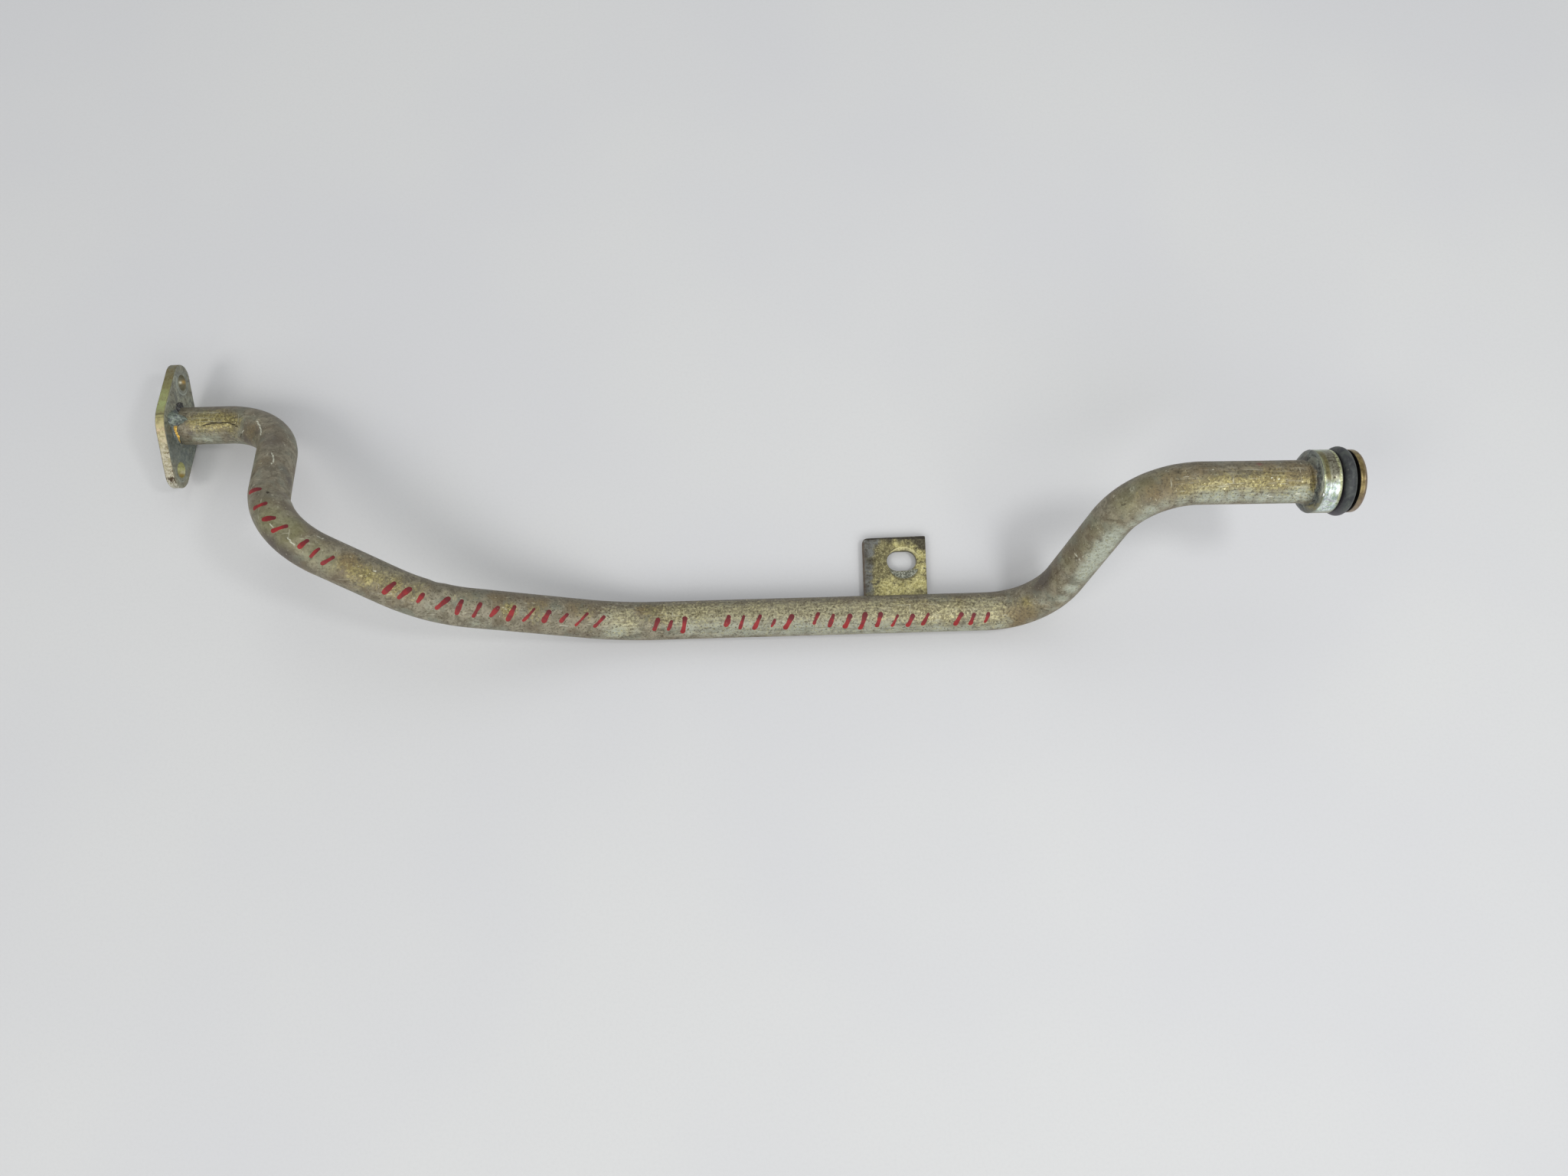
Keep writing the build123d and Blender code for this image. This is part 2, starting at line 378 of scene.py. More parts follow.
GOLD_AT = [
    (254, 550, 5, 0.8), (268, 549, 6, 1.0), (285, 548, 6, 1.0), (299, 549, 5, 1.0), (308, 551, 4, 0.8), (262, 557, 5, 0.7),
    (300, 556, 5, 0.8), (282, 558, 5, 0.6),
    (447, 737, 5, 0.6), (462, 744, 6, 0.8), (478, 752, 6, 0.9), (495, 757, 6, 0.7), (515, 764, 7, 0.7), (540, 772, 7, 0.6),
    (665, 797, 4, 1.0), (700, 800, 6, 0.6), (765, 799, 6, 0.5), (850, 797, 7, 0.7), (870, 800, 7, 0.8), (890, 800, 7, 0.9),
    (915, 800, 7, 0.8), (940, 798, 7, 0.6), (965, 797, 7, 0.5), (985, 797, 7, 0.6),
    (1150, 797, 8, 0.6), (1180, 795, 8, 0.8), (1205, 800, 7, 1.0), (1235, 800, 7, 0.9), (1250, 796, 7, 0.8), (1215, 807, 5, 0.9),
    (1302, 802, 6, 0.7), (1341, 787, 3.4, 0.75), (1328, 790, 5, 0.5),
    (1482, 650, 4, 0.35),
    (1548, 642, 4.5, 0.8), (1560, 637, 4.5, 0.7), (1575, 634, 4.5, 0.9), (1588, 632, 5, 1.0), (1600, 632, 5, 1.0), (1620, 630, 5, 0.9),
    (1640, 629, 5, 1.0), (1658, 627, 5, 1.0), (1672, 627, 5, 1.0), (1690, 631, 5, 0.9), (1705, 632, 5, 1.0), (1712, 635, 4, 1.0),
    (1660, 618, 3.5, 0.5), (1648, 615, 3, 0.4), (1684, 620, 3.5, 0.4), (1602, 622, 3, 0.3), (1568, 626, 3, 0.4),
]
# cream patches: cream specks of the plating, and a painted highlight on the gentle bend of the run
CREAM_AND_HIGHLIGHT_AT = [
    (800, 801, 6, 0.6), (815, 812, 7, 1.0), (808, 821, 6, 0.8), (795, 807, 6, 0.6), (830, 812, 6, 0.5), (640, 815, 6, 0.3),
    (1275, 797, 8, 0.9), (1290, 800, 8, 0.95), (1305, 806, 8, 0.95), (1285, 812, 6, 0.7), (1302, 815, 5, 0.6),
    (520, 748, 7, 0.4), (540, 755, 7, 0.4), (500, 745, 6, 0.4), (590, 782, 7, 0.35), (1590, 641, 6, 0.5), (1565, 645, 5, 0.5),
    (1625, 641, 6, 0.5), (1535, 650, 5, 0.4),
] + [(x, 789, 8, 0.45) for x in range(960, 1260, 20)] + [(x, 798, 8, 0.7) for x in range(880, 1260, 20)]
RUST_AT = [
    (1508, 645, 6, 0.8), (1530, 632, 7, 0.8), (1545, 622, 8, 0.7), (1570, 612, 8, 0.6), (1520, 625, 6, 0.5), (1495, 655, 5, 0.5),
    (1660, 610, 7, 0.7), (1690, 612, 7, 0.8), (1712, 616, 6, 0.7), (1620, 611, 8, 0.5), (1640, 612, 6, 0.5), (1600, 614, 6, 0.4), (1675, 616, 5, 0.6),
    (1322, 806, 6, 0.9), (1340, 802, 7, 0.8), (1360, 792, 7, 0.55), (1378, 775, 6, 0.4), (1390, 760, 5, 0.25),
    (1330, 815, 6, 0.9), (1380, 790, 4, 0.6), (1322, 822, 4, 0.7),
    (455, 732, 5, 0.9), (464, 736, 5, 0.6), (446, 728, 4, 0.4), (620, 775, 8, 0.4), (650, 781, 7, 0.6), (705, 785, 7, 0.6),
    (750, 792, 7, 0.6), (836, 796, 4, 0.8), (328, 566, 7, 0.7), (345, 602, 6, 0.6), (342, 590, 5, 0.4), (350, 562, 7, 0.4),
    (430, 707, 6, 0.4), (1030, 785, 5, 0.4), (1210, 790, 7, 0.5), (1190, 787, 6, 0.4), (500, 725, 8, 0.35),
]
OLIVE_AT = [
    (340, 660, 8, 0.6), (350, 680, 9, 0.8), (345, 640, 7, 0.4), (378, 690, 7, 1.0), (370, 705, 6, 0.9), (392, 712, 6, 0.6),
    (410, 720, 8, 0.6), (430, 735, 7, 0.6), (1470, 655, 10, 0.6), (1455, 680, 9, 0.4), (1495, 632, 8, 0.6), (1400, 700, 9, 0.5), (1472, 652, 7, 0.6), (1485, 645, 7, 0.5), (1420, 672, 7, 0.4),
    (1540, 630, 9, 0.5), (1690, 640, 8, 0.4), (1345, 795, 8, 0.5), (610, 780, 9, 0.4), (1515, 615, 8, 0.5), (1415, 715, 8, 0.5),
    (1395, 735, 7, 0.5), (1430, 690, 8, 0.5), (1380, 760, 7, 0.4),
]
# pale patches: whitish corrosion, and a painted reflection along the low, front-facing flanks of the elbow, run and
# right tube
WHITE_AND_SHEEN_AT = [
    (1415, 752, 4.5, 0.9), (1424, 742, 5, 1.0), (1434, 729, 5.2, 1.1), (1443, 716, 5, 1.15), (1452, 704, 4.6, 1.0),
    (1462, 694, 4, 0.7), (1400, 770, 4, 0.8), (1390, 782, 4, 0.6), (1376, 795, 3.6, 0.45), (1362, 803, 3.4, 0.4), (1345, 811, 3.4, 0.35),
    (1480, 685, 3.8, 0.6), (1492, 676, 4, 0.65), (1503, 668, 4.2, 0.7),
    (1520, 660, 4, 0.5), (1545, 655, 4, 0.6), (1572, 651, 4.4, 0.75), (1590, 650, 4.4, 0.8), (1610, 650, 4.4, 0.85), (1630, 650, 4.4, 0.7),
    (1650, 651, 4.4, 0.75), (1668, 651, 4.4, 0.7), (1685, 650, 4.6, 1.0), (1697, 648, 4.6, 1.1), (1707, 648, 3.6, 0.9),
    (258, 573, 3.6, 0.6), (270, 574, 3.8, 0.75), (284, 572, 3.6, 0.5), (300, 577, 4, 0.3),
    (806, 826, 5, 0.7), (795, 828, 5, 0.6), (780, 830, 4, 0.4), (828, 824, 4, 0.4), (792, 805, 4, 0.5),
    (1240, 824, 6, 0.7), (1260, 823, 6, 0.7), (1285, 821, 5, 0.6), (1305, 818, 5, 0.6), (1315, 812, 4, 0.5), (1340, 817, 3, 0.5),
    (365, 585, 5, 0.2), (352, 632, 8, 0.25), (368, 648, 6, 0.35), (378, 655, 5, 0.4), (500, 786, 6, 0.25), (560, 800, 8, 0.35), (620, 814, 6, 0.45),
    (636, 816, 5, 0.4), (590, 806, 6, 0.3), (700, 824, 8, 0.2),
] + [(x, 822, 7, 0.62) for x in range(900, 1230, 18)]
DARK_AT = [
    (322, 556, 4, 0.55), (330, 564, 5, 0.6), (336, 562, 5, 0.6), (328, 574, 4, 0.5), (340, 575, 5, 0.5), (246, 572, 3, 0.4), (290, 531, 9, 0.5), (255, 531, 8, 0.5), (320, 531, 8, 0.4),
    (358, 575, 7, 0.6), (350, 568, 5, 0.5), (372, 570, 5, 0.3), (372, 614, 4, 0.6), (378, 628, 4, 0.7), (362, 600, 4, 0.3), (372, 640, 4, 0.3),
    (347, 703, 6, 0.6), (355, 713, 7, 0.8), (370, 724, 7, 0.8), (385, 735, 6, 0.6), (400, 744, 5, 0.4), (335, 692, 5, 0.5),
    (258, 560, 2.2, 0.7), (250, 566, 2.0, 0.8), (275, 566, 3, 0.4), (300, 571, 4, 0.5), (322, 575, 5, 0.7),
    (425, 702, 5, 0.5), (405, 690, 4, 0.3),
    (1362, 757, 5, 1.0), (1368, 748, 5, 0.8), (1355, 765, 5, 0.7), (1378, 735, 6, 0.5), (1345, 772, 5, 0.4), (1395, 705, 6, 0.5),
    (1385, 720, 5, 0.4), (1412, 690, 6, 0.4), (1430, 668, 6, 0.4), (845, 788, 5, 0.5), (870, 786, 6, 0.5), (900, 785, 6, 0.4),
    (640, 825, 8, 0.35), (700, 828, 8, 0.4), (750, 830, 8, 0.35),
]
HEAT_AT = [
    (240, 545, 2.2, 0.8), (240, 556, 2.4, 0.9), (240, 567, 3.0, 1.0), (239, 576, 3.2, 1.0), (243, 535, 2.6, 0.7),
]
speck = np.interp(P[:, 0], [-236, -206, -196, -165, -140, -100, -60, 112, 130, 158, 176, 226], [0.7, 0.7, 0.3, 0.3, 0.6, 0.8, 1, 1, 0.6, 0.45, 0.9, 1.0]).repeat(ROUND)
MARKS = {"gold": GOLD_AT, "cream_and_highlight": CREAM_AND_HIGHLIGHT_AT, "rust": RUST_AT, "olive": OLIVE_AT, "white_and_sheen": WHITE_AND_SHEEN_AT, "dark": DARK_AT, "heat": HEAT_AT}


def marks_at(p):
    return {key: blobs(p, spots, places) for key, places in MARKS.items()}


on_tube_marks = marks_at(flat_base)
gold, cream_and_highlight, rust, olive, white_and_sheen, dark, heat = (on_tube_marks[k] for k in ("gold", "cream_and_highlight", "rust", "olive", "white_and_sheen", "dark", "heat"))

dark_line = streaks(flat_base, spots, [
    ([(262, 557.5), (268, 555), (275, 553), (283, 551.8), (292, 551.6), (300, 552.6), (307, 555.5), (312, 559)], 0.36, 0.95),
    ([(297, 548.5), (304, 546), (311, 544.2), (319, 542)], 0.32, 0.62), ([(268, 561), (276, 559.5), (284, 559.5)], 0.30, 0.45),
    ([(314, 572), (315, 567), (318, 562.5)], 0.40, 0.7),
    ([(1465, 657), (1465, 663)], 0.45, 0.66), ([(1468, 656), (1468, 662)], 0.40, 0.62), ([(1470.5, 656), (1470.5, 660)], 0.35, 0.56),
    # these two: painted shade of the gaps by the weld's hollow
    ([(240, 531.7), (248, 533.4)], 0.3, 0.8), ([(238, 539.5), (245, 540.3)], 0.35, 0.9),
    ([(347, 641.5), (351, 643), (348, 645)], 0.62, 0.75),
    ([(1352, 753), (1362, 764)], 0.4, 0.6),
    ([(1418, 672), (1424, 682)], 0.35, 0.6),
    ([(832, 797), (838, 800)], 0.5, 0.7),
    ([(1655, 655), (1662, 652)], 0.25, 0.5),
])
# pale lines: pale scratches, and painted highlights along the first bend's crease and the right tube's low flank
pale_line_and_highlight = streaks(flat_base, spots, [
    ([(335, 549), (339, 556), (341, 563), (340, 570)], 0.35, 1.0),
    ([(334, 545), (331, 541)], 0.3, 0.6),
    ([(354, 590), (357, 596), (357, 603), (353, 607)], 0.28, 1.0),
    ([(315, 567), (318, 562)], 0.25, 0.8),
    ([(362, 615), (370, 612)], 0.25, 0.7),
    ([(352, 566), (362, 560)], 0.3, 0.4),
    ([(372, 560), (377, 572)], 0.35, 0.5),
    ([(378, 590), (384, 600)], 0.3, 0.4),
    ([(1400, 716), (1406, 726), (1413, 735)], 0.28, 0.8),
    ([(1404, 733), (1414, 727), (1422, 722)], 0.25, 0.6),
    ([(1430, 712), (1436, 706)], 0.25, 0.4),
    ([(374, 700), (380, 708), (386, 714)], 0.35, 0.9),
    ([(412, 698), (420, 704), (424, 703)], 0.3, 0.7),
    ([(352, 684), (357, 690)], 0.35, 0.7),
    ([(488, 746), (492, 746)], 0.4, 0.8),
    ([(476, 747), (478, 745)], 0.4, 0.7),
    ([(1655, 647), (1660, 649), (1664, 648)], 0.3, 1.0),
    ([(1660, 623), (1662, 625)], 0.3, 1.0),
    ([(1670, 625), (1671, 627)], 0.3, 1.0),
    ([(1583, 614), (1585, 613)], 0.3, 0.8),
    ([(1692, 645), (1698, 645)], 0.5, 1.0),
    ([(1706, 645), (1709, 644)], 0.45, 1.0),
    ([(1600, 647), (1604, 650)], 0.4, 0.6),
    ([(936, 831), (946, 831)], 0.35, 0.8),
    ([(655, 792), (663, 797)], 0.4, 0.6),
    ([(730, 817), (742, 818)], 0.35, 0.6),
])

# Marker paint: plain hatch strokes, all leaning one way, in loose groups along the tube.
rng = np.random.default_rng(11)
paint = np.full(len(flat_base), -3.0)
fade = np.zeros(len(flat_base))


def on_skin(q, k):
    """The nearest place on the round skin to q, near path place k."""
    i = k + int(np.argmin(np.linalg.norm(P[max(k - 14, 0): k + 15] - q, axis=1))) - min(k, 14)
    axis_point = P[i] + T[i] * ((q - P[i]) @ T[i])
    return axis_point + unit(q - axis_point) * TUBE_R


for u, v in (
    (331, 640), (338, 660), (350, 677), (364, 690),
    (396, 710), (411, 722), (428, 732),
    (508, 768), (528, 775), (549, 781),
    (578, 788), (600, 793), (623, 797), (646, 799), (668, 801), (691, 803), (714, 805), (737, 807), (760, 809), (783, 812),
    (857, 816), (875, 817), (893, 817),
    (950, 811), (969, 813), (989, 813), (1010, 814), (1030, 813),
    (1066, 808), (1086, 811), (1107, 812), (1127, 812), (1148, 810), (1169, 811), (1189, 811), (1209, 809),
    (1252, 809), (1270, 809), (1289, 807),
):
    c = spots.spot(u, v)
    k = int(np.argmin(np.linalg.norm(P - c, axis=1)))
    across = unit(np.cross(unit(c - P[k]), T[k]))
    lean = math.radians(24 + 9 * rng.standard_normal())
    length = 4.9 + 0.9 * rng.standard_normal()
    half = 0.86 + 0.16 * rng.standard_normal()
    slant = across * math.cos(lean) + T[k] * math.sin(lean)
    bow = T[k] * 0.35 * rng.standard_normal()
    line = [on_skin(c + slant * length * w + bow * (0.25 - w * w), k) for w in (-0.5, -0.25, 0.0, 0.25, 0.5)]
    near = np.linalg.norm(flat_base - c, axis=1) < 9
    d, t = line_distance(flat_base[near], line)
    width = half * (0.82 + 0.30 * np.sin(2.6 * t + rng.random() * 3) ** 2)
    better = (width - d) > paint[near]
    where = np.flatnonzero(near)[better]
    paint[where] = (width - d)[better]
    fade[where] = t[better]
c = spots.spot(1645, 606)
smear = np.exp(-((np.linalg.norm(flat_base - c, axis=1) / 0.9) ** 2))
paint = np.maximum(paint, -3)
thick = smooth(paint, -0.1, 0.35)

pit_depth = np.zeros(len(flat_base))
rp = rng.random((140, 3))
for k in range(140):
    i = int(rp[k, 0] * len(P))
    j = int(rp[k, 1] * ROUND)
    c = base[i, j]
    r = 0.35 + 0.5 * rp[k, 2] ** 2
    near = np.abs(tube_s - S[i]) < 3
    d = np.linalg.norm(flat_base[near] - c, axis=1)
    pit_depth[near] = np.maximum(pit_depth[near], np.exp(-((d / r) ** 2)) * (0.4 + 0.6 * rp[k, 2]))

relief = -0.10 * dark_line - 0.05 * pale_line_and_highlight - 0.12 * pit_depth + 0.03 * thick
tube_v = tube_v + flat_dirs * relief[:, None]

# bore and the two ends
inner_step = 4
INNER = 32
ii = list(range(0, len(P), inner_step))
if ii[-1] != len(P) - 1:
    ii.append(len(P) - 1)
inner_dirs = dirs[ii][:, ::3]
inner_v = (P[ii][:, None] + inner_dirs * BORE_R).reshape(-1, 3)
n_out = len(tube_v)
faces = list(tube_faces) + grid_faces(len(ii), INNER, n_out)
first_out, first_in = 0, n_out
last_out, last_in = (len(P) - 1) * ROUND, n_out + (len(ii) - 1) * INNER
for j in range(INNER):
    k = (j + 1) % INNER
    o = [3 * j, 3 * j + 1, 3 * j + 2, (3 * j + 3) % ROUND]
    faces.append(tuple([first_in + j, first_in + k] + [first_out + q for q in o[::-1]]))
    faces.append(tuple([last_in + k, last_in + j] + [last_out + q for q in o]))
verts = np.vstack([tube_v, inner_v])


def with_inner(values, fill=0.0):
    return np.concatenate([values, np.full(len(inner_v), fill)])


straight = smooth(np.abs(T[:, 0]), 0.93, 0.985).repeat(ROUND)
tube_attrs = {
    "straight": with_inner(straight),
    "gold": with_inner(gold), "cream_and_highlight": with_inner(cream_and_highlight), "rust": with_inner(rust), "white_and_sheen": with_inner(white_and_sheen),
    "olive": with_inner(olive), "speck": with_inner(speck), "stroke": with_inner(fade), "smear": with_inner(smear),
    "dark": with_inner(dark, 0.6), "heat": with_inner(heat), "dark_line": with_inner(dark_line),
    "pale_line_and_highlight": with_inner(pale_line_and_highlight), "paint": with_inner(paint, -3.0), "pit": with_inner(pit_depth),
    "along": with_inner(tube_s, 0.0) * MM,
    "bore": np.concatenate([np.zeros(n_out), np.ones(len(inner_v))]),
}


# ------------------------------------------------------------------ materials
def rgb(r, g, b):
    """Screen colour, 0 to 255, as a linear colour."""
    out = []
    for c in (r, g, b):
        c = c / 255.0
        out.append(c / 12.92 if c <= 0.04045 else ((c + 0.055) / 1.055) ** 2.4)
    return (*out, 1.0)


class Finish:
    """A material built from noise, masks and mixes."""

    def __init__(self, name):
        self.m = bpy.data.materials.new(name)
        self.m.use_nodes = True
        self.t = self.m.node_tree
        self.t.nodes.clear()
        self.out = self.t.nodes.new("ShaderNodeOutputMaterial")
        self.shader = self.t.nodes.new("ShaderNodeBsdfPrincipled")
        self.t.links.new(self.shader.outputs[0], self.out.inputs[0])
        coord = self.t.nodes.new("ShaderNodeTexCoord")
        self.coord = coord.outputs["Object"]
        geo = self.t.nodes.new("ShaderNodeNewGeometry")
        self.pointing = geo.outputs["Normal"]

    def put(self, socket, value):
        if isinstance(value, bpy.types.NodeSocket):
            self.t.links.new(value, socket)
        else:
            socket.default_value = value

    def math(self, op, a, b=None, c=None, clamp=False):
        n = self.t.nodes.new("ShaderNodeMath")
        n.operation = op
        n.use_clamp = clamp
        for i, x in enumerate((a, b, c)):
            if x is not None:
                self.put(n.inputs[i], x)
        return n.outputs[0]

    def add(self, a, b):
        return self.math("ADD", a, b)

    def mul(self, a, b):
        return self.math("MULTIPLY", a, b)

    def stretch(self, scale, turn=(0, 0, 0)):
        n = self.t.nodes.new("ShaderNodeMapping")
        self.put(n.inputs["Vector"], self.coord)
        n.inputs["Scale"].default_value = scale
        n.inputs["Rotation"].default_value = turn
        return n.outputs[0]

    def noise(self, size, detail=3, rough=0.55, warp=0.0, at=None):
        """Noise with features about size millimetres wide, 0 to 1 about 0.5."""
        n = self.t.nodes.new("ShaderNodeTexNoise")
        self.put(n.inputs["Vector"], at or self.coord)
        n.inputs["Scale"].default_value = 1000.0 / size
        n.inputs["Detail"].default_value = detail
        n.inputs["Roughness"].default_value = rough
        n.inputs["Distortion"].default_value = warp
        return n.outputs["Fac"]

    def cells(self, size, feature="F1", at=None, random=1.0):
        n = self.t.nodes.new("ShaderNodeTexVoronoi")
        n.feature = feature
        self.put(n.inputs["Vector"], at or self.coord)
        n.inputs["Scale"].default_value = 1000.0 / size
        n.inputs["Randomness"].default_value = random
        return n.outputs["Distance"]

    def band(self, x, lo, hi, a=0.0, b=1.0, soft=True):
        n = self.t.nodes.new("ShaderNodeMapRange")
        n.interpolation_type = "SMOOTHSTEP" if soft else "LINEAR"
        self.put(n.inputs[0], x)
        for i, v in enumerate((lo, hi, a, b)):
            n.inputs[i + 1].default_value = v
        return n.outputs[0]

    def mask(self, name):
        n = self.t.nodes.new("ShaderNodeAttribute")
        n.attribute_name = name
        return n.outputs["Fac"]

    def mix(self, f, a, b, kind="MIX"):
        n = self.t.nodes.new("ShaderNodeMix")
        n.data_type = "RGBA"
        n.blend_type = kind
        n.clamp_factor = True
        self.put(n.inputs[0], f)
        self.put(n.inputs[6], a)
        self.put(n.inputs[7], b)
        return n.outputs[2]

    def blend(self, f, a, b):
        n = self.t.nodes.new("ShaderNodeMix")
        n.data_type = "FLOAT"
        n.clamp_factor = True
        self.put(n.inputs[0], f)
        self.put(n.inputs[2], a)
        self.put(n.inputs[3], b)
        return n.outputs[0]

    def ramp(self, x, stops):
        n = self.t.nodes.new("ShaderNodeValToRGB")
        self.put(n.inputs[0], x)
        el = n.color_ramp.elements
        while len(el) < len(stops):
            el.new(0.5)
        for e, (p, c) in zip(el, stops):
            e.position = p
            e.color = c
        return n.outputs[0]

    def axis(self, k, source=None):
        n = self.t.nodes.new("ShaderNodeSeparateXYZ")
        self.put(n.inputs[0], source or self.pointing)
        return n.outputs[k]

    def bump(self, height, mm, under=None):
        """Relief: height runs 0 to 1, mm is how far that is."""
        n = self.t.nodes.new("ShaderNodeBump")
        n.inputs["Strength"].default_value = 1.0
        n.inputs["Distance"].default_value = mm * MM
        self.put(n.inputs["Height"], height)
        if under is not None:
            self.put(n.inputs["Normal"], under)
        return n.outputs[0]

    def finish(self, colour, metal, rough, normal=None, **fixed):
        s = self.shader
        self.put(s.inputs["Base Color"], colour)
        self.put(s.inputs["Metallic"], metal)
        self.put(s.inputs["Roughness"], rough)
        if normal is not None:
            self.put(s.inputs["Normal"], normal)
        for key, value in fixed.items():
            s.inputs[key.replace("_", " ")].default_value = value
        return self.m


def plated(f):
    """Colour of the aged plating from the marks on a piece, with painted sheen, highlights, glints and far-flank shade.
    """
    back = f.axis(1)
    fine = f.noise(0.85, 3, 0.65)
    grain = f.noise(1.05, 3, 0.65, 0.3)
    glitter = f.noise(0.95, 2, 0.5)
    mid = f.noise(3.2, 5, 0.62, 0.5)
    wide = f.noise(11.0, 4, 0.58, 0.4)
    strand = f.noise(1.0, 3, 0.6, 0.2, f.stretch((0.10, 1.0, 1.0)))
    speck = f.mask("speck")

    def patch(name, lo, hi, wild=0.5, rough=0.0):
        m = f.add(f.mask(name), f.mul(f.add(mid, -0.5), wild))
        if rough:
            m = f.add(m, f.mul(f.add(grain, -0.5), rough))
        return f.band(m, lo, hi)

    # grey, brown and greenish ground
    col = f.mix(f.band(mid, 0.38, 0.62), rgb(120, 113, 94), rgb(158, 151, 130))
    col = f.mix(f.mul(f.band(wide, 0.47, 0.62), 0.55), col, rgb(122, 108, 86))
    col = f.mix(f.mul(f.band(f.noise(8.0, 3, 0.55), 0.50, 0.66), 0.55), col, rgb(134, 138, 122))
    col = f.mix(f.mul(patch("olive", 0.2, 0.8), 0.80), col, f.mix(f.band(mid, 0.4, 0.6), rgb(128, 125, 88), rgb(146, 143, 108)))
    col = f.mix(f.mul(patch("dark", 0.2, 0.85), 0.75), col, rgb(90, 82, 78))

    gm = patch("gold", 0.22, 0.95, 0.7, 0.6)
    goldcol = f.mix(f.band(grain, 0.38, 0.62), rgb(120, 109, 64), rgb(174, 162, 102))
    goldcol = f.mix(f.mul(f.band(f.noise(5.0, 3, 0.6, 0.4), 0.48, 0.64), 0.55), goldcol, rgb(118, 104, 66))
    col = f.mix(f.mul(gm, 0.88), col, goldcol)
    # cream patches: plating colour with a painted highlight on the run's gentle bend
    cream_hl_m = patch("cream_and_highlight", 0.25, 0.75, 0.5, 0.6)
    col = f.mix(f.mul(cream_hl_m, 0.85), col, f.mix(f.band(grain, 0.40, 0.60), rgb(140, 133, 104), rgb(188, 182, 146)))
    rm = patch("rust", 0.22, 0.85, 0.8, 0.3)
    col = f.mix(f.mul(rm, 0.70), col, f.mix(f.band(fine, 0.4, 0.65), rgb(128, 109, 70), rgb(102, 86, 58)))
    # pale patches: whitish corrosion with a painted reflection on the low flanks
    white_sheen_m = patch("white_and_sheen", 0.20, 0.80, 0.45, 0.6)
    pale_sheen_skin = f.mix(f.band(grain, 0.40, 0.66), rgb(186, 192, 176), rgb(154, 158, 140))
    pale_sheen_skin = f.mix(f.mul(f.band(glitter, 0.56, 0.64), f.mul(speck, 0.6)), pale_sheen_skin, rgb(196, 192, 140))
    col = f.mix(f.mul(white_sheen_m, 0.85), col, pale_sheen_skin)

    # far flank, facing +Y, darker by normal direction: painted shade with some dust
    col = f.mix(f.mul(f.band(back, 0.30, 0.95), 0.55), col, rgb(104, 97, 86))

    # blue-grey tint by the weld
    col = f.mix(f.mul(f.mask("heat"), f.band(mid, 0.20, 0.45)), col, rgb(108, 110, 108))

    # drawn lines along the straight lengths, fine dark flecks, pale flecks and glints
    drawn = f.mul(f.mask("straight"), f.band(strand, 0.52, 0.64))
    col = f.mix(f.mul(drawn, 0.40), col, rgb(98, 92, 72))
    pale_drawn = f.mul(f.mask("straight"), f.band(strand, 0.44, 0.36))
    col = f.mix(f.mul(pale_drawn, 0.22), col, rgb(190, 188, 168))
    flecks = f.mul(f.band(fine, 0.545, 0.63), f.add(0.18, f.mul(speck, 0.62)))
    col = f.mix(flecks, col, rgb(80, 71, 50))
    light = f.mul(f.band(grain, 0.57, 0.66), f.add(f.mul(speck, 0.16), f.add(f.mul(gm, 0.30), f.mul(cream_hl_m, 0.32))))
    col = f.mix(light, col, rgb(200, 191, 142))
    glint = f.mul(f.band(glitter, 0.675, 0.735), f.mul(gm, 0.85))
    col = f.mix(glint, col, rgb(250, 238, 190))
    return col, gm, cream_hl_m, rm, white_sheen_m, fine, grain, mid, speck


